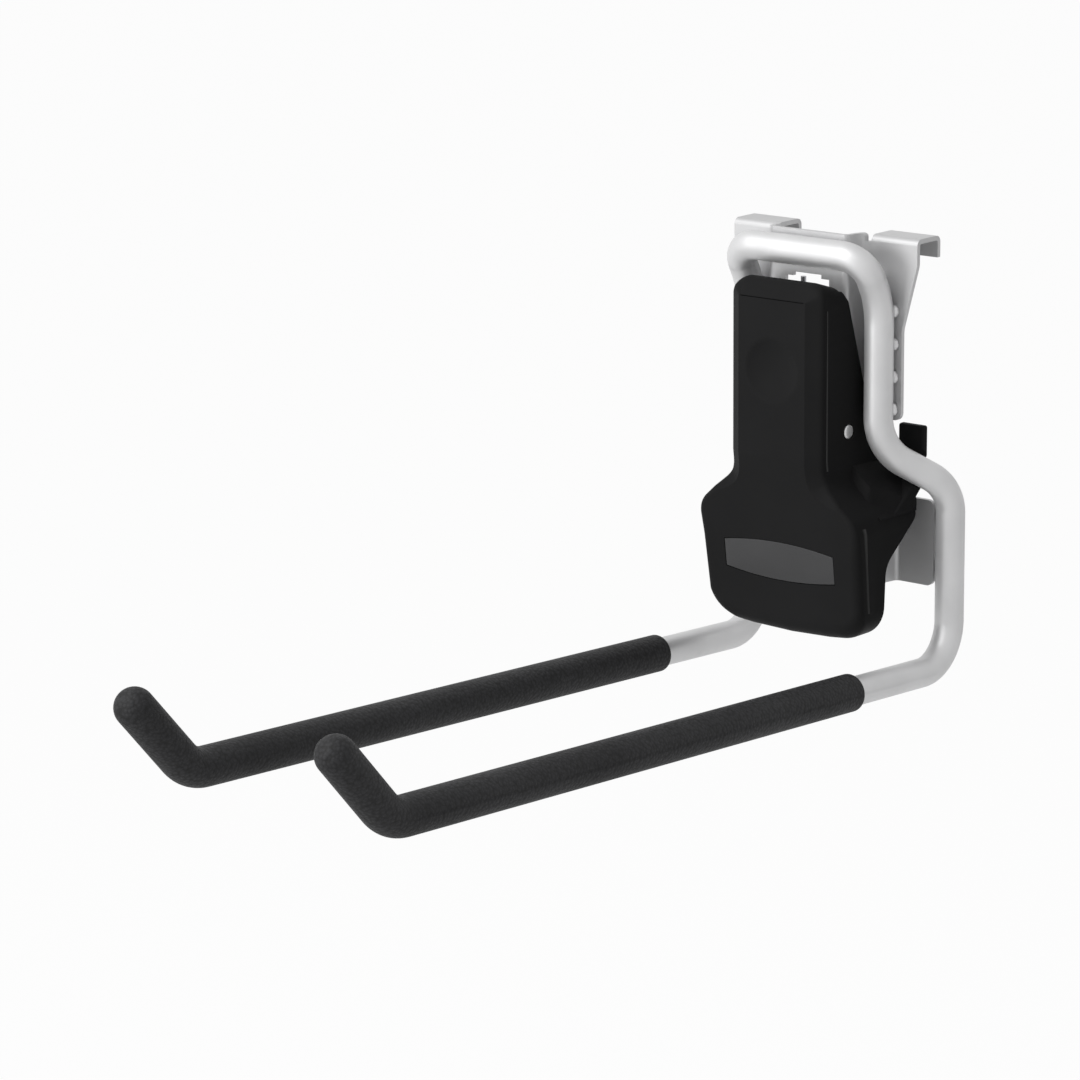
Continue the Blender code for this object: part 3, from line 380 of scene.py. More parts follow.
# Hanging bracket
# Pressed from 1.5 mm zinc-plated sheet: a channel whose web stands forward between two flanges, two
# feet welded to the lower legs, two hooks over the rail, a window, and two ears for the pin.

WEB_FORWARD, WEB_HALF_WIDTH, WEB_TOP_Z = 10.7, 15.7, 2.2
WALL_SPLAY = math.radians(9.5)
FLANGE_HALF_WIDTH, FLANGE_BOTTOM_Z = 30.8, -57.9
FLARE_FOOT_Z, FLARE_TOP_Z, FLARE_RADIUS = -28.4, -7.1, 8
WAIST_HALF_WIDTH, NOTCH_X, NOTCH_Z = 16.8, 17.6, -0.5
FOOT_HALF_WIDTH, FOOT_FRONT_Y = 33.99, 13
FOOT_TOP_Z, FOOT_BOTTOM_Z = -86.4, -115
SHEET_CORNER, SHEET_BEND, WASTE = 2.5, 2.5, 2.5
RAIL_DEPTH = 9.7
HOOK_INNER_X, HOOK_OUTER_X, HOOK_BEND = 18.6, 36.5, 2.2
HOOK_ROOT_Z, HOOK_LIP_Z = -6.5, -5.6
WINDOW_HALF_WIDTH, WINDOW_TOP_Z = 8.7, -13.0
STEP_HALF_WIDTH, STEP_TOP_Z = 5.6, -11.7
PIN_Y, PIN_Z, PIN_HOLE_RADIUS = -12.9, -61.0, 2.5
EAR_RADIUS, EAR_HALF_HEIGHT = 5.0, 7.5
BAR_RELIEF = 0.25
FAR = 60
ZINC, ZINC_DARK = (0.62, 0.62, 0.625), (0.58, 0.58, 0.585)
PLANES = {"XZ": lambda u, v, w: (u, w, v), "YZ": lambda u, v, w: (w, u, v)}


def prism(name, outline, low, high, plane, edges=(0, 0)):
    """Outline carried through its thickness. Along an edge of radius r the outline is drawn in by
    r (1 - sin e) at the height r (1 - cos e), following the mitre of its two sides at each point."""
    before, after = np.roll(outline, 1, 0), np.roll(outline, -1, 0)
    first, second = outline - before, after - outline
    first, second = (way[:, ::-1] * (1, -1) / np.linalg.norm(way, axis=1)[:, None]
                     for way in (first, second))
    turn = np.sum(before[:, 0] * outline[:, 1] - before[:, 1] * outline[:, 0])
    mitre = (first + second) / (1 + np.sum(first * second, axis=1))[:, None] * np.sign(turn)
    e = np.linspace(0, math.pi / 2, 6)
    stations = []
    for level, radius, up in ((low, edges[0], 1), (high, edges[1], -1)):
        if radius:
            profile = [(radius * (1 - math.sin(x)), level + up * radius * (1 - math.cos(x))) for x in e]
        else:
            profile = [(0, level)]
        stations += profile if up == 1 else profile[::-1]
    rows = []
    for inset, level in stations:
        ring = outline - mitre * inset
        rows.append(np.stack(PLANES[plane](ring[:, 0], ring[:, 1], np.full(len(ring), level)), -1))
    rows = np.array(rows)
    grid = np.concatenate([rows, rows[:, :1]], axis=1)
    return surface(name, [grid], caps=(rows[0], rows[-1]))


def worked(piece, tool, way="DIFFERENCE"):
    """Cuts or joins a tool into the piece, and throws the tool away."""
    step = piece.modifiers.new(tool.name, "BOOLEAN")
    step.object, step.operation, step.solver = tool, way, "EXACT"
    settled(piece)
    bpy.data.objects.remove(tool, do_unlink=True)


def settled(piece):
    """Makes the piece's modifiers part of its mesh."""
    bpy.context.view_layer.update()
    mesh = bpy.data.meshes.new_from_object(piece.evaluated_get(bpy.context.evaluated_depsgraph_get()))
    piece.modifiers.clear()
    piece.data = mesh


def thickened(piece):
    """Gives an open front surface the sheet's thickness behind it."""
    facing = piece.data.polygons[0].normal.y < 0
    thick = piece.modifiers.new("Sheet", "SOLIDIFY")
    thick.thickness, thick.offset = SHEET * MM, -1 if facing else 1
    settled(piece)


def weighted(piece):
    """Lets the large faces set the shading, so that flats stay flat beside their bends."""
    step = piece.modifiers.new("Weighted", "WEIGHTED_NORMAL")
    step.keep_sharp, step.weight = True, 50
    settled(piece)


def pressed_channel():
    """Front face of the channel: at each height a bent line runs from the web's middle round the two
    bends to beyond the flange, set back as far as the flange or foot is, and mirrored."""
    heights = ((FOOT_BOTTOM_Z - WASTE, FOOT_FRONT_Y, 2), (FOOT_TOP_Z + WASTE, FOOT_FRONT_Y, 2),
               (FLANGE_BOTTOM_Z - WASTE, -SHEET, 2), (FLARE_FOOT_Z, -SHEET, 2), (FLARE_TOP_Z, -SHEET, 6),
               (WEB_TOP_Z + WASTE, -SHEET, 6))
    rows = []
    for z, setback, rear_radius in heights:
        spread = (setback + WEB_FORWARD) * math.tan(WALL_SPLAY)
        corners = ((0, -WEB_FORWARD), (WEB_HALF_WIDTH, -WEB_FORWARD), (WEB_HALF_WIDTH + spread, setback),
                   (HOOK_OUTER_X + WASTE, setback))
        line = section_line(corners, (SHEET_BEND, rear_radius))
        rows.append(np.column_stack([line, np.full(len(line), z)]))
    rows = np.array(rows)
    return np.concatenate([rows[:, :0:-1] * (-1, 1, 1), rows], axis=1)


def section_line(corners, radii):
    """Bent line with the same number of points whatever its radii: one share of each arc per point."""
    line = bent_line(corners, radii, 1000, 0.01)
    bends = [int(np.argmin(np.linalg.norm(line - np.array(corner), axis=1))) for corner in corners[1:-1]]
    ends = [0] + bends + [len(line) - 1]
    marks = np.concatenate([np.linspace(a, b, 14)[:-1] for a, b in zip(ends, ends[1:])] + [ends[-1:]])
    return line[np.round(marks).astype(int)]


def ring_line(corners, radii, pitch=1.5, turn_pitch=0.4):
    """Closed outline: the bent line from the middle of the last side round to the same point."""
    corners = np.array(corners, float)
    start = (corners[0] + corners[-1]) / 2
    line = bent_line(np.vstack([start, corners, start]), radii, pitch, turn_pitch)
    return line[:-1]


def blank_outline():
    """Outline that the pressed channel is trimmed to, up its right side and down its left."""
    right = ((FOOT_HALF_WIDTH, FOOT_BOTTOM_Z, SHEET_CORNER), (FOOT_HALF_WIDTH, FOOT_TOP_Z, SHEET_CORNER),
             (WAIST_HALF_WIDTH, FOOT_TOP_Z, SHEET_CORNER),
             (WAIST_HALF_WIDTH, FLANGE_BOTTOM_Z, SHEET_CORNER),
             (FLANGE_HALF_WIDTH, FLANGE_BOTTOM_Z, SHEET_CORNER),
             (FLANGE_HALF_WIDTH, FLARE_FOOT_Z, FLARE_RADIUS), (HOOK_OUTER_X, FLARE_TOP_Z, FLARE_RADIUS),
             (HOOK_OUTER_X, NOTCH_Z, 0), (NOTCH_X, NOTCH_Z, 0), (NOTCH_X, WEB_TOP_Z, SHEET_CORNER / 2))
    whole = right + tuple((-x, z, radius) for x, z, radius in right[::-1])
    return ring_line([(x, z) for x, z, radius in whole], [radius for x, z, radius in whole], 50)


def pin_drill():
    """Rod on the pin's axis through everything, which cuts the holes for the pin."""
    angle = np.linspace(0, 2 * math.pi, 41)[:-1]
    ring = PIN_HOLE_RADIUS * np.column_stack([np.cos(angle), np.sin(angle)])
    return prism("pin_hole", ring + (PIN_Y, PIN_Z), -FAR, FAR, "YZ")


def bracket():
    """Channel, trimmed, pierced and relieved behind the bar's loop, with its ears and hooks joined on."""
    sheet = surface("pressed_bracket", [pressed_channel()])
    thickened(sheet)
    worked(sheet, prism("trim", blank_outline(), -FAR, FAR, "XZ"), "INTERSECT")
    ear_x, ear_top, ear_bottom = WEB_HALF_WIDTH - SHEET, PIN_Z + EAR_HALF_HEIGHT, PIN_Z - EAR_HALF_HEIGHT
    right = ((ear_x, ear_bottom), (ear_x, ear_top), (WINDOW_HALF_WIDTH, ear_top),
             (WINDOW_HALF_WIDTH, WINDOW_TOP_Z), (STEP_HALF_WIDTH, WINDOW_TOP_Z),
             (STEP_HALF_WIDTH, STEP_TOP_Z))
    window = np.array(right + tuple((-x, z) for x, z in right[::-1]))
    worked(sheet, prism("window", window, -WEB_FORWARD - 4 * SHEET, -WEB_FORWARD + 3 * SHEET, "XZ"))
    worked(sheet, bar_surface("bar_relief", BAR_RADIUS + BAR_RELIEF, 32))
    root = -WEB_FORWARD + 2 * SHEET
    nose_y = PIN_Y - EAR_RADIUS
    ear_corners = ((root, ear_bottom), (root, ear_top), (-WEB_FORWARD, ear_top),
                   (PIN_Y, PIN_Z + EAR_RADIUS), (nose_y, PIN_Z + EAR_RADIUS),
                   (nose_y, PIN_Z - EAR_RADIUS), (PIN_Y, PIN_Z - EAR_RADIUS), (-WEB_FORWARD, ear_bottom))
    ear_line = ring_line(ear_corners, (0, 0, 0, 0, EAR_RADIUS - 0.01, EAR_RADIUS - 0.01, 0, 0))
    hook_back = RAIL_DEPTH + SHEET
    hook_corners = ((0, -SHEET, HOOK_ROOT_Z), (0, -SHEET, SHEET), (0, hook_back, SHEET),
                    (0, hook_back, HOOK_LIP_Z))
    hook_line = bent_line(hook_corners, (HOOK_BEND, HOOK_BEND), 4, 0.3)
    for side in (-1, 1):
        ear_span = sorted((side * ear_x, side * WEB_HALF_WIDTH))
        worked(sheet, prism("ear", ear_line, *ear_span, "YZ"), "UNION")
        edges = [hook_line + (side * x, 0, 0) for x in (HOOK_INNER_X, HOOK_OUTER_X)]
        strip = surface("hook_strip", [np.stack(edges, axis=1)])
        thickened(strip)
        worked(sheet, strip, "UNION")
    worked(sheet, pin_drill())
    smooth(sheet, 40)
    weighted(sheet)
    return sheet


bracket_finish = finish_of("zinc_sheet", ZINC, ZINC_DARK, 0.5, 0.45, mottle=35)
fitted(bracket(), bracket_finish, "frame", "back_bracket")


# Latch lever
# Moulded in black plastic as an open-backed shell: a grip with a thumb dimple and a bevelled brow,
# shoulders, and a paddle whose sides run back under the bar and rise as two latch tabs.

LEVER_FORWARD = 29.7
CHEEK_WALL, LEVER_WALL, CHEEK_GAP = 1.7, 2.2, 0.8
LEVER_HALF_WIDTH = WEB_HALF_WIDTH + CHEEK_GAP + CHEEK_WALL
LEVER_TOP_Z, CHEEK_TOP_Z = -11.8, -20.6
TOP_CORNER, TOP_FALL = 6, 2.6
BROW_HEIGHT, BROW_DEPTH = 5.7, 6.7
BROW_FROM, BROW_SPAN = math.radians(22), math.radians(46)
NECK_Z, SHOULDER_Z = -76.2, -88.4
PADDLE_HALF_WIDTH, PADDLE_FOOT_HALF_WIDTH = 32, 30.6
PADDLE_BOTTOM_Z = -129.4
GRIP_EDGE, SHELF_EDGE, PADDLE_EDGE, PADDLE_FOOT_EDGE = 5, 1.8, 3, 6
LEAN_Z, LEAN_HEIGHT, LEAN_BACK = -69.0, 58.3, 7.6
BACK_EDGE = ((-15.6, -14.7), (-49.0, -4.8), (-60.5, -4.8), (-73.5, 4.2), (-84.2, 6.8), (-90.0, 6.8),
             (-104.0, -9.7), (PADDLE_BOTTOM_Z, -9.7))
BACK_EDGE_RADII = (16, 4, 4, 2, 4, 8)
DRAFT = math.radians(2)
DIMPLE_Z, DIMPLE_RADIUS, DIMPLE_DEPTH, DIMPLE_RIM = -40.6, 10.4, 2.5, 0.1
# The last of these is the half width of the painted highlight along the parting line.
PARTING_DEPTH, SEAM_LEAD, SEAM_STEP, SEAM_HIGHLIGHT_REACH = 5.0, 0.25, 0.15, 0.13
SEAM_TOP_Z, SEAM_TO_NECK, SEAM_TO_SHOULDER, PADDLE_CORNER = -20, 4, 1, 11
BLOCK_FRONT_Y, BLOCK_BACK_Y, BLOCK_HEIGHT, BLOCK_SETBACK = -13, 7, 4.5, 0.3
NOSE_DEPTH = 2.2
SWEEP_X, SWEEP_OUT, SWEEP_BACK = 26.8, 5.7, 10
ARM = ((-6, -88.6), (5.1, -88.2), (6.8, -84.2), (12.7, -79), (12.7, -61.5), (9.7, -61.5), (9.7, -76),
       (3, -81.5))
ARM_RADII = (0, 0.8, 0.8, 3, 0.8, 0.8, 3, 4)
ARM_STEP, ARM_WIDTH, ARM_EDGES = 3.9, 9.5, (0.4, 0.7)
ARM_TAPER = ((34.0, -79), (32.6, -83.5), (31.3, -88.7), (31.3, -92), (44, -92), (44, -79))
WEB_CLEARANCE, BAR_CLEARANCE = 0.4, 0.5
TRAVEL = math.radians(6)
BADGE_Z, BADGE_HALF_WIDTH, BADGE_END_HEIGHT, BADGE_CROWN = -104.3, 21.8, 9.1, 1.95
BADGE_SEAT_GAP, BADGE_SEAT_DEPTH, BADGE_EDGE = 0.25, 1.0, 0.15
# The last of these greys is a painted highlight along the parting line.
BLACK, BLACK_DARK, SEAM_HIGHLIGHT_GREY = (0.0215, 0.0215, 0.0219), (0.019, 0.019, 0.0194), (0.09, 0.09, 0.09)


def by_height(z, table):
    """Straight-line value at z from (z, value) pairs given top to bottom."""
    table = np.array(table[::-1], float)
    return np.interp(z, table[:, 0], table[:, 1])


def front_y(z):
    """Front face: upright down the grip, then leaning back down the paddle."""
    lean_foot = LEAN_Z - LEAN_HEIGHT
    return by_height(z, ((LEAN_Z, -LEVER_FORWARD), (lean_foot, -LEVER_FORWARD + LEAN_BACK)))


def back_y(z):
    """Back edge of the sides, from (z, y) corners: cheek, then wing, then paddle."""
    return by_height(z, bent_line(BACK_EDGE, BACK_EDGE_RADII, 1000, 0.3))


def eased(t):
    """Smooth step: 3 t squared - 2 t cubed between 0 and 1."""
    t = np.clip(t, 0, 1)
    return t * t * (3 - 2 * t)


def lever_rows():
    """Right side of the lever seen from the front, top to bottom: points (x, z) and outward normals."""
    corners = ((0, LEVER_TOP_Z), (LEVER_HALF_WIDTH, LEVER_TOP_Z), (LEVER_HALF_WIDTH, NECK_Z),
               (PADDLE_HALF_WIDTH, SHOULDER_Z), (PADDLE_FOOT_HALF_WIDTH, PADDLE_BOTTOM_Z + 2),
               (PADDLE_FOOT_HALF_WIDTH / 2, PADDLE_BOTTOM_Z + 0.5), (0, PADDLE_BOTTOM_Z))
    line = bent_line(corners, (TOP_CORNER, 9, 9, PADDLE_CORNER, 30.6), 0.8, 0.5)
    line = line[int(np.argmax(line[:, 0] >= LEVER_HALF_WIDTH - TOP_CORNER)):]
    along = np.gradient(line, axis=0)
    normal = along[:, ::-1] * (-1, 1) / np.linalg.norm(along, axis=1)[:, None]
    normal[0], normal[-1] = (0, 1), (0, -1)
    return line, normal


def seam_shows(z):
    """1 where the parting line stands out, down the cheeks and the paddle's sides, and 0 elsewhere."""
    cheek = (z < SEAM_TOP_Z) & (z > NECK_Z + SEAM_TO_NECK)
    paddle = (z < SHOULDER_Z - SEAM_TO_SHOULDER) & (z > PADDLE_BOTTOM_Z + PADDLE_CORNER)
    return (cheek | paddle).astype(float)


def lever_skin(inset, wall):
    """Grids of the lever's outer or inner skin, from the front's middle round to its back edge.

    At an outline point p with outward normal n, a point of the front edge's rounding lies at
    p - n (inset + pull) in the XZ plane and at front + wall + depth in Y, where pull is r (1 - sin e)
    and depth r (1 - cos e) round the paddle, and both follow a bevel down the grip and, larger, along
    its brow. From there straight lines run to the back edge, spread by the mould's draft on the
    cheeks, with the parting line standing a step proud. The dimple in the front is part of a ball,
    its rim softened by d log(1 + exp(depth / d)).
    """
    line, normal = lever_rows()
    z = line[:, 1]
    radius = by_height(z, ((NECK_Z, GRIP_EDGE), ((NECK_Z + SHOULDER_Z) / 2, SHELF_EDGE),
                           (SHOULDER_Z, SHELF_EDGE), (SHOULDER_Z - PADDLE_CORNER, PADDLE_EDGE),
                           (PADDLE_BOTTOM_Z + PADDLE_CORNER, PADDLE_EDGE),
                           (PADDLE_BOTTOM_Z + 2, PADDLE_FOOT_EDGE)))
    radius = np.maximum(radius - inset, 0.5)[:, None]
    upward = np.where(z > CHEEK_TOP_Z, np.maximum(normal[:, 1], 0), 0)
    share = eased((np.arcsin(upward) - BROW_FROM) / BROW_SPAN)[:, None]
    e = np.linspace(0, math.pi / 2, 13)
    run = np.interp(e, (0, math.pi / 6, math.pi / 3, math.pi / 2), (0, 0.5, 0.78, 1))
    rise = np.where(run < 0.5, 1 - 1.5 * run, 0.25 * ((1 - run) / 0.5) ** 3)
    flat = by_height(z, ((NECK_Z, 1), (SHOULDER_Z, 0)))[:, None]
    side_pull = radius * ((1 - np.sin(e)) * (1 - flat) + rise * flat)
    side_depth = radius * ((1 - np.cos(e)) * (1 - flat) + run * flat)
    pull = side_pull * (1 - share) + (BROW_HEIGHT - inset) * rise * share
    depth = side_depth * (1 - share) + (BROW_DEPTH - wall / 2) * run * share
    spot = line[:, None] - normal[:, None] * (inset + pull)[..., None]
    ring = np.stack([spot[..., 0], front_y(spot[..., 1]) + wall + depth, spot[..., 1]], -1)
    ring[-1, :, 0] = 0
    back = back_y(z - normal[:, 1] * inset)
    spread = by_height(z, ((NECK_Z, math.tan(DRAFT)), (SHOULDER_Z, 0)))
    draft = (back - front_y(z)) * spread * np.abs(normal[:, 0])
    edge = line - normal * (inset - draft)[:, None]
    edge = np.stack([edge[:, 0], back, edge[:, 1] - TOP_FALL * upward ** 0.5], -1)
    edge[-1, 0] = 0
    seam = front_y(z) + np.maximum(PARTING_DEPTH, depth[:, -1]) + SEAM_LEAD
    shares = (seam - ring[:, -1, 1]) / (edge[:, 1] - ring[:, -1, 1])
    steps = np.concatenate([shares[:, None] - 0.004,
                            shares[:, None] + (1 - shares[:, None]) * np.linspace(0, 1, 15)], 1)
    side = ring[:, -1:] + (edge[:, None] - ring[:, -1:]) * steps[..., None]
    if inset == 0:
        stand = (SEAM_STEP * np.linspace(1, 0, 7) * seam_shows(z)[:, None])[..., None]
        side[:, 1:8] += np.stack([normal[:, 0], 0 * z, normal[:, 1]], -1)[:, None] * stand
    skin = np.concatenate([ring, side], 1)
    across = np.linspace(1, -1, 53)[None, :]
    front_x, front_z = skin[:, :1, 0] * across, skin[:, :1, 2] * np.ones_like(across)
    ball = (DIMPLE_RADIUS ** 2 + DIMPLE_DEPTH ** 2) / (2 * DIMPLE_DEPTH)
    reach = np.hypot(front_x, front_z - DIMPLE_Z)
    hollow = np.sqrt(np.maximum(ball ** 2 - reach ** 2, 0)) - (ball - DIMPLE_DEPTH)
    hollow = DIMPLE_RIM * np.log1p(np.exp(np.clip(hollow / DIMPLE_RIM, -60, 60)))
    hollow[:, (0, -1)] = 0
    front = np.stack([front_x, front_y(front_z) + wall + hollow, front_z], -1)
    top_across = np.linspace(1, -1, 25)[:, None]
    level = np.ones_like(top_across)
    top = np.stack([skin[0, :, 0] * top_across, skin[0, :, 1] * level, skin[0, :, 2] * level], -1)
    return skin, front, top


def lever_shell():
    """Outer and inner skins joined round the back edge into one closed wall."""
    outer, inner = lever_skin(0, 0), lever_skin(CHEEK_WALL, LEVER_WALL)
    rim = np.stack([outer[0][:, -1], inner[0][:, -1]], 1)
    top_rim = np.stack([outer[2][:, -1], inner[2][:, -1]], 1)
    mirror = (-1, 1, 1)
    grids = [grid for skin in (outer, inner) for grid in (skin[0], skin[0] * mirror, skin[1], skin[2])]
    return surface("moulded_lever", grids + [rim, rim * mirror, top_rim])


def shelf_z(x):
    """Height of a shoulder's sloping shelf at x."""
    return NECK_Z + (SHOULDER_Z - NECK_Z) * (x - LEVER_HALF_WIDTH) / (PADDLE_HALF_WIDTH - LEVER_HALF_WIDTH)


def shoulder_block(side):
    """Block on a shoulder: a rounded nose beside the cheek, and a side that sweeps out to the wing.

    It rises h above the shelf where it is whole. Near its front the rise is h sin(90 f / nose depth),
    with f the distance behind its front, and along the sweep it is a smooth step of the distance
    inside it.
    """
    x = np.linspace(LEVER_HALF_WIDTH - CHEEK_WALL / 2, PADDLE_HALF_WIDTH - 0.6, 61)[:, None]
    close = BLOCK_FRONT_Y + 3
    y = [np.linspace(BLOCK_FRONT_Y, close, 19), np.linspace(close, BLOCK_BACK_Y, 35)[1:]]
    y = np.concatenate(y)[None]
    behind = y - BLOCK_FRONT_Y
    nose = np.sin(np.clip(behind / NOSE_DEPTH, 0, 1) * math.pi / 2)
    inside = ((SWEEP_X - x) * SWEEP_BACK + behind * SWEEP_OUT) / math.hypot(SWEEP_BACK, SWEEP_OUT)
    height = BLOCK_HEIGHT - 0.25 * np.maximum(x - 27, 0)
    rise = height * nose * eased(inside / by_height(-y, ((13, 1.2), (5, 4))))
    top = np.stack([side * x + 0 * y, y + 0 * x, shelf_z(x) - BLOCK_SETBACK + rise], -1)
    low = np.stack([side * x + 0 * y, y + 0 * x, shelf_z(x) - CHEEK_WALL / 2 + 0 * y], -1)
    walls = [np.stack(pair) for pair in ((top[0], low[0]), (top[-1], low[-1]), (top[:, 0], low[:, 0]),
                                         (top[:, -1], low[:, -1]))]
    return surface("block", [top, low] + walls)


def lever():
    """Shell with its blocks and latch arms joined on, then cut clear of the web and the bar as they
    come near when it swings, drilled for the pin, and sunk for the badge. An arm is an outline of
    (y, z) points, and its outer side is cut back to (x, z) points where its foot meets the wing."""
    shell = lever_shell()
    arm_line = ring_line(ARM, ARM_RADII, 3)
    for side in (-1, 1):
        worked(shell, shoulder_block(side), "UNION")
        inner = LEVER_HALF_WIDTH + ARM_STEP
        span = sorted((side * inner, side * (inner + ARM_WIDTH)))
        arm = prism("arm", arm_line, *span, "YZ", ARM_EDGES[::side])
        worked(arm, prism("taper", np.array(ARM_TAPER) * (side, 1), -FAR, FAR, "XZ"))
        worked(shell, arm, "UNION")
    front = -WEB_FORWARD - (LEVER_TOP_Z - PIN_Z) * math.sin(TRAVEL) - WEB_CLEARANCE
    inner = LEVER_HALF_WIDTH - CHEEK_WALL
    relief = np.array(((-inner, CHEEK_TOP_Z), (inner, CHEEK_TOP_Z), (inner, FAR), (-inner, FAR)))
    worked(shell, prism("web_relief", relief, front, FAR, "XZ"))
    axis = Matrix.Translation(Vector((0, PIN_Y, PIN_Z)) * MM)
    for step in range(3):
        space = bar_surface("bar_space", BAR_RADIUS + BAR_CLEARANCE, 32)
        space.data.transform(axis @ Matrix.Rotation(TRAVEL * step / 2, 4, "X") @ axis.inverted())
        worked(shell, space)
    worked(shell, pin_drill())
    worked(shell, badge("badge_seat", BADGE_SEAT_GAP, BADGE_SEAT_DEPTH))
    smooth(shell, 30)
    # Sets the points where a pale highlight is painted along the parting line.
    mark_seam_highlight(shell)
    weighted(shell)
    return shell


def mark_seam_highlight(shell):
    """Marks the parting line's points, where the finish paints a pale highlight along the seam."""
    points = np.empty(len(shell.data.vertices) * 3)
    shell.data.vertices.foreach_get("co", points)
    points = points.reshape(-1, 3) / MM
    behind = points[:, 1] - front_y(points[:, 2]) - PARTING_DEPTH - SEAM_LEAD
    mark = shell.data.attributes.new("seam", "FLOAT", "POINT")
    mark.data.foreach_set("value", (np.abs(behind) < SEAM_HIGHLIGHT_REACH) * seam_shows(points[:, 2]))


def badge(name, margin, depth):
    """Lens with cut ends: half its height at x is e + b (1 - (x / w) squared). It is carried back from
    the paddle's leaning front, which it fills flush."""
    share = np.linspace(1, -1, 41)
    height = BADGE_END_HEIGHT / 2 + BADGE_CROWN * (1 - share ** 2) + margin
    upper = np.column_stack([share * (BADGE_HALF_WIDTH + margin), height])
    outline = np.vstack([upper, -upper])
    edge = 0 if margin else BADGE_EDGE
    plate = prism(name, outline, -margin, depth, "XZ", (edge, 0))
    lean = math.atan2(LEAN_BACK, LEAN_HEIGHT)
    place = Matrix.Translation(Vector((0, float(front_y(BADGE_Z)), BADGE_Z)) * MM)
    plate.data.transform(place @ Matrix.Rotation(lean, 4, "X"))
    return plate


def lever_material():
    """Black plastic with a painted highlight: paler along the parting line, where the seam attribute is
    near 1.
    """
    material = finish_of("moulded_black", BLACK, BLACK_DARK, 0, 0.36, 0.06, mottle=30, grain=2500,
                         bump=0.12, depth=0.03, specular=0.01)
    nodes, links = material.node_tree.nodes, material.node_tree.links
    mark = nodes.new("ShaderNodeAttribute")
    mark.attribute_name = "seam"
    edge = nodes.new("ShaderNodeMapRange")
    edge.inputs["From Min"].default_value = 0.6
    links.new(mark.outputs["Fac"], edge.inputs["Value"])
    # Painted highlight: a paler grey along the parting line, beside its small real step.
    tinted(material, edge.outputs["Result"], SEAM_HIGHLIGHT_GREY)
    return material


fitted(lever(), lever_material(), "lever", "latch_lever")


# Badge plate
# A thin lens-shaped plate of grey plastic, moulded by itself and pressed into a shallow seat in the
# front of the paddle, flush with it and left bare.

BADGE_THICKNESS = 0.7
GREY, GREY_DARK = (0.045, 0.045, 0.0465), (0.04, 0.04, 0.0415)

badge_finish = finish_of("badge_grey", GREY, GREY_DARK, 0, 0.5, 0.05, grain=2500, bump=0.08, depth=0.02,
                         specular=0.4)
fitted(badge("bare_badge", 0, BADGE_THICKNESS), badge_finish, "lever", "badge_plate")


# Pivot pin
# A turned steel pin through both cheeks of the lever and both ears of the bracket. Its ends come
# flush with the cheeks, which the draft has spread there, and are faced off with a small bevel.

PIN_RADIUS, PIN_REACH = 2.35, 0.65
PIN_COLOUR, PIN_DARK = (0.78, 0.78, 0.785), (0.72, 0.72, 0.725)


def pin():
    """Profile of (x, r) turned about the pin's axis: slightly domed ends, bevel, then the shank."""
    half = LEVER_HALF_WIDTH + PIN_REACH
    end = ((half, 0), (half, 1.2), (half - 0.05, 1.8), (half - 0.15, 2.05), (half - 0.4, 2.3),
           (half - 0.7, PIN_RADIUS))
    profile = np.array(end + tuple((-x, r) for x, r in end[::-1]))
    angle = np.linspace(0, 2 * math.pi, 49)[None, :]
    x, radius = profile[:, :1], profile[:, 1:]
    grid = np.stack([x + 0 * angle, PIN_Y + radius * np.cos(angle), PIN_Z + radius * np.sin(angle)], -1)
    return surface("turned_pin", [grid])


pin_finish = finish_of("turned_steel", PIN_COLOUR, PIN_DARK, 0.6, 0.35, grain=3000)
fitted(pin(), pin_finish, "frame", "pivot_pin")


# Return spring
# A torsion spring of 1.8 mm wire coiled round the pin. One leg lies in the window of the web. The
# other bears on the inside of the lever and swings with it, so it is a piece of its own.

SPRING_WIRE, SPRING_TURNS, SPRING_GAP = 1.8, 6, 0.5
SPRING_X, SPRING_STRETCH = -2, 1.15
REAR_LEG_TOP_Z, FRONT_LEG_BEND, FRONT_LEG_TOP = -13, 20, 25
WIRE_COLOUR, WIRE_DARK = (0.46, 0.46, 0.48), (0.38, 0.38, 0.40)


def spring_lines():
    """Middle lines of the coil with its rear leg, and of the front leg from inside the coil's end. The
    coil is a helix x = x0 + pitch a / 2 pi, y = y0 + r cos a, z = z0 - r sin a."""
    radius = PIN_RADIUS + SPRING_GAP + SPRING_WIRE / 2
    pitch = SPRING_WIRE * SPRING_STRETCH
    angle = np.linspace(0, (SPRING_TURNS + 0.5) * 2 * math.pi, SPRING_TURNS * 32 + 17)
    coil = np.column_stack([SPRING_X + pitch * angle / (2 * math.pi), PIN_Y + radius * np.cos(angle),
                            PIN_Z - radius * np.sin(angle)])
    rear_y = -WEB_FORWARD + SHEET / 2
    rear = bent_line(((SPRING_X, rear_y, REAR_LEG_TOP_Z), (SPRING_X, rear_y, PIN_Z + 3 * radius),
                      (SPRING_X, PIN_Y + radius, PIN_Z + radius), (SPRING_X, PIN_Y + radius, PIN_Z)),
                     (3, 2))[:-1]
    far_x, inner_front = coil[-1, 0], -LEVER_FORWARD + LEVER_WALL + 0.3 + SPRING_WIRE / 2
    front = bent_line(((far_x, PIN_Y - radius, PIN_Z), (far_x, PIN_Y - radius, PIN_Z + radius),
                       (far_x, inner_front, PIN_Z + FRONT_LEG_BEND),
                       (far_x, inner_front, PIN_Z + FRONT_LEG_TOP)), (2, 3))[1:]
    return np.vstack([rear, coil]), np.vstack([coil[-3:], front])


def wire(name, line, radius):
    """Round wire carried along its middle line, with both ends cut square."""
    grid = carried(line, radius, (1, 0, 0), 16)
    return surface(name, [grid], caps=(grid[0, :-1], grid[-1, :-1]))


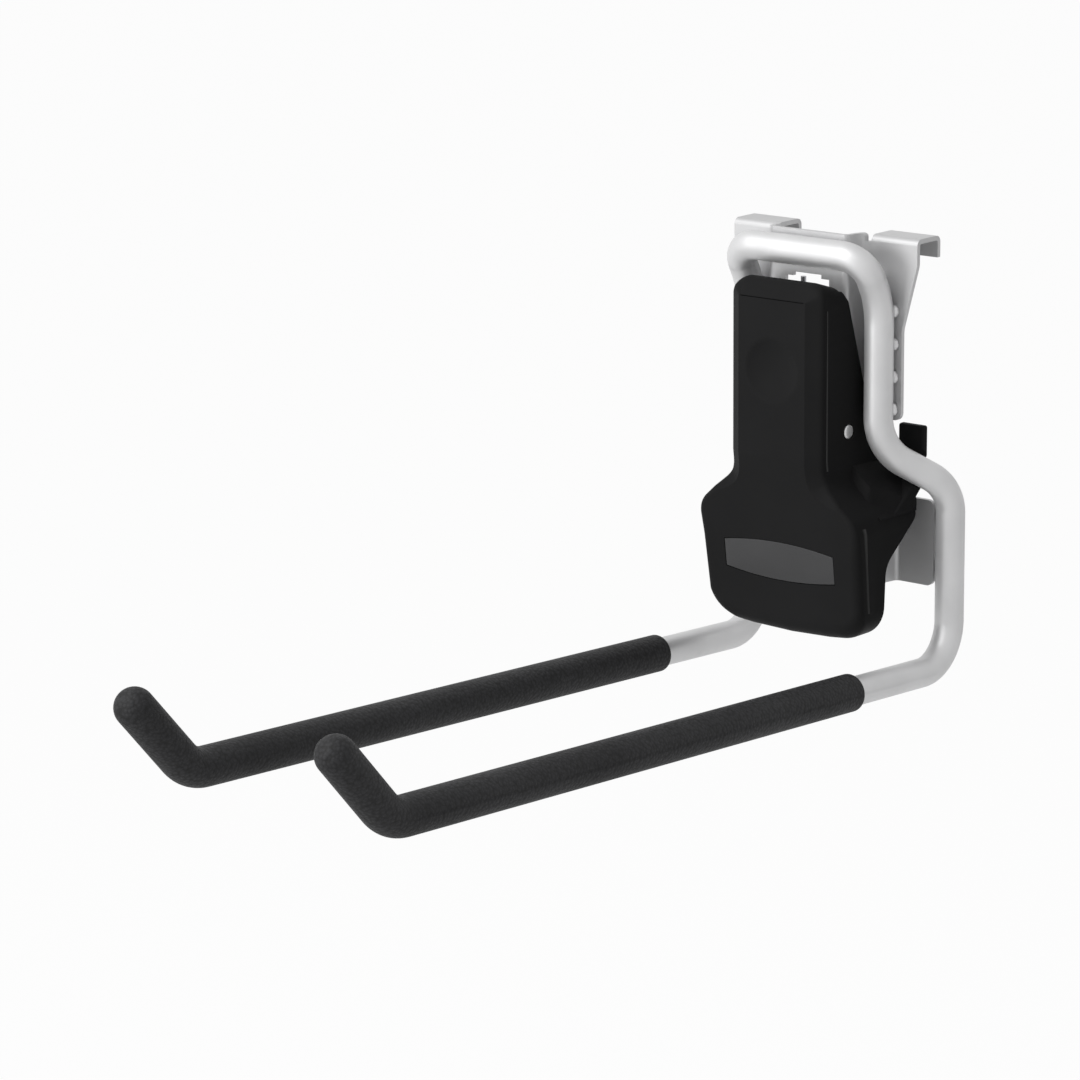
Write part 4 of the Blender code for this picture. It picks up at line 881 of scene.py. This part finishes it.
spring_finish = finish_of("drawn_wire", WIRE_COLOUR, WIRE_DARK, 1.0, 0.33)
coil_line, leg_line = spring_lines()
coil = wire("wire_spring", coil_line, SPRING_WIRE / 2)
fitted(coil, spring_finish, "frame", "return_spring")
front_leg = wire("spring_front_leg", leg_line, SPRING_WIRE / 2 - 0.05)
fitted(front_leg, spring_finish, "lever")


# Weld beads
# Short fillet welds between the bar and the bracket, four down each upper leg and two down each
# foot, plated over with the rest: bright, rounded and faintly rippled.

BEAD_RADIUS, BEAD_HALF_LENGTH, BEAD_STAND_OFF = 1.3, 2.0, 0.95
LEG_BEAD_X, LEG_BEAD_HEIGHTS = 28.7, (-22.2, -32.8, -43.5, -54.1)
FOOT_BEAD_X, FOOT_BEAD_HEIGHTS = 33.59, (-92.0, -109.0)
WELD_COLOUR, WELD_DARK = (0.74, 0.74, 0.745), (0.66, 0.66, 0.665)


def bead(name, x, y, z, seed):
    """Swollen line of metal: radius r sqrt(1 - s squared) (1 + 0.06 cos(9 s + seed)) at the share s
    of its half length, leaning a little from side to side."""
    s = np.sin(np.linspace(-math.pi / 2, math.pi / 2, 21))
    path = np.column_stack([x + 0.12 * np.sin(3 * s + seed), np.full(len(s), y), z + s * BEAD_HALF_LENGTH])
    radii = BEAD_RADIUS * np.sqrt(np.maximum(1 - s ** 2, 0)) * (1 + 0.06 * np.cos(9 * s + seed))
    return surface(name, [carried(path, radii, (0, 1, 0), 24)], sharp=80)


weld_finish = finish_of("plated_weld", WELD_COLOUR, WELD_DARK, 0.6, 0.36, 0.12, mottle=400, grain=1200,
                        bump=0.3, depth=0.05)
for side, label in ((-1, "left"), (1, "right")):
    y = -SHEET - BEAD_STAND_OFF
    for index, z in enumerate(LEG_BEAD_HEIGHTS):
        spot = bead("plated_weld_%s_%d" % (label, index + 1), side * LEG_BEAD_X, y, z, index + side)
        fitted(spot, weld_finish, "frame", "weld_bead_%s_%d" % (label, index + 1))
    y = FOOT_FRONT_Y + SHEET + BEAD_STAND_OFF
    for index, z in enumerate(FOOT_BEAD_HEIGHTS):
        spot = bead("plated_foot_weld_%s_%d" % (label, index + 1), side * FOOT_BEAD_X, y, z, index)
        fitted(spot, weld_finish, "frame", "foot_weld_%s_%d" % (label, index + 1))


# Studio
# A plain white floor well below the hook, which hangs clear of it as on its wall rail, soft lamps,
# and the camera at the photograph's angle.


def white_to_camera(tree, output, lit, socket, amount):
    """Mixes what lights the object with plain white for camera, mirror and see-through rays. An
    amount below 1 leaves the rest to the surface itself, and with it the shadow on it."""
    nodes, links = tree.nodes, tree.links
    rays = nodes.new("ShaderNodeLightPath")
    either = rays.outputs["Is Camera Ray"]
    for other in ("Is Glossy Ray", "Is Transmission Ray"):
        largest = nodes.new("ShaderNodeMath")
        largest.operation = "MAXIMUM"
        links.new(either, largest.inputs[0])
        links.new(rays.outputs[other], largest.inputs[1])
        either = largest.outputs["Value"]
    white = nodes.new("ShaderNodeBackground" if socket == "Background" else "ShaderNodeEmission")
    white.inputs["Color"].default_value = (1, 1, 1, 1)
    white.inputs["Strength"].default_value = 1
    mix = nodes.new("ShaderNodeMixShader")
    part = nodes.new("ShaderNodeMath")
    part.operation = "MULTIPLY"
    part.inputs[1].default_value = amount
    links.new(either, part.inputs[0])
    links.new(part.outputs["Value"], mix.inputs["Fac"])
    links.new(lit.outputs[socket], mix.inputs[1])
    links.new(white.outputs[0], mix.inputs[2])
    links.new(mix.outputs["Shader"], output.inputs["Surface"])


world = bpy.data.worlds.new("studio")
bpy.context.scene.world = world
world.use_nodes = True
surround = world.node_tree.nodes["Background"]
surround.inputs["Color"].default_value = (1, 1, 1, 1)
surround.inputs["Strength"].default_value = 0.26
white_to_camera(world.node_tree, world.node_tree.nodes["World Output"], surround, "Background", 1)

FLOOR_Z, FLOOR_REACH = -420, 12000
span = np.linspace(-FLOOR_REACH, FLOOR_REACH, 3)
floor_grid = np.stack([*np.meshgrid(span, span, indexing="ij"), np.full((3, 3), FLOOR_Z)], -1)
floor = surface("floor", [floor_grid])
paint = bpy.data.materials.new("white_floor")
paint.use_nodes = True
coat = paint.node_tree.nodes["Principled BSDF"]
coat.inputs["Base Color"].default_value = (0.9, 0.9, 0.9, 1)
coat.inputs["Roughness"].default_value = 0.9
white_to_camera(paint.node_tree, paint.node_tree.nodes["Material Output"], coat, "BSDF", 0.96)
floor.data.materials.append(paint)

LAMPS = (("key", (-300, -900, 900), 600, 8.6), ("fill", (-350, -1150, 100), 500, 3.8))
LIT_POINT = Vector((0, -100, -80))
for name, place, size, power in LAMPS:
    lamp = bpy.data.lights.new(name, "AREA")
    lamp.size = size * MM
    lamp.energy = power
    holder = bpy.data.objects.new(name, lamp)
    holder.location = Vector(place) * MM
    aim = LIT_POINT * MM - holder.location
    holder.rotation_euler = aim.to_track_quat("-Z", "Y").to_euler()
    bpy.context.scene.collection.objects.link(holder)

CAMERA_PLACE = Vector((821.99, -1122.07, 235.74))
CAMERA_HEADING, CAMERA_PITCH, CAMERA_ROLL = -0.69953, -0.23814, -0.00896
SENSOR = 36
CAMERA_FOCAL = 4354.36 / 1080 * SENSOR
lens = bpy.data.cameras.new("camera")
lens.lens, lens.sensor_width = CAMERA_FOCAL, SENSOR
lens.clip_start, lens.clip_end = 0.05, 20
camera = bpy.data.objects.new("camera", lens)
ahead = Vector((math.sin(CAMERA_HEADING) * math.cos(CAMERA_PITCH),
                math.cos(CAMERA_HEADING) * math.cos(CAMERA_PITCH), math.sin(CAMERA_PITCH)))
right = ahead.cross(Vector((0, 0, 1))).normalized()
turn = Matrix((right, right.cross(ahead), -ahead)).transposed()
turn = turn @ Matrix.Rotation(CAMERA_ROLL, 3, "Z")
camera.matrix_world = Matrix.Translation(CAMERA_PLACE * MM) @ turn.to_4x4()
bpy.context.scene.collection.objects.link(camera)
bpy.context.scene.camera = camera
bpy.context.scene.view_settings.view_transform = "Standard"
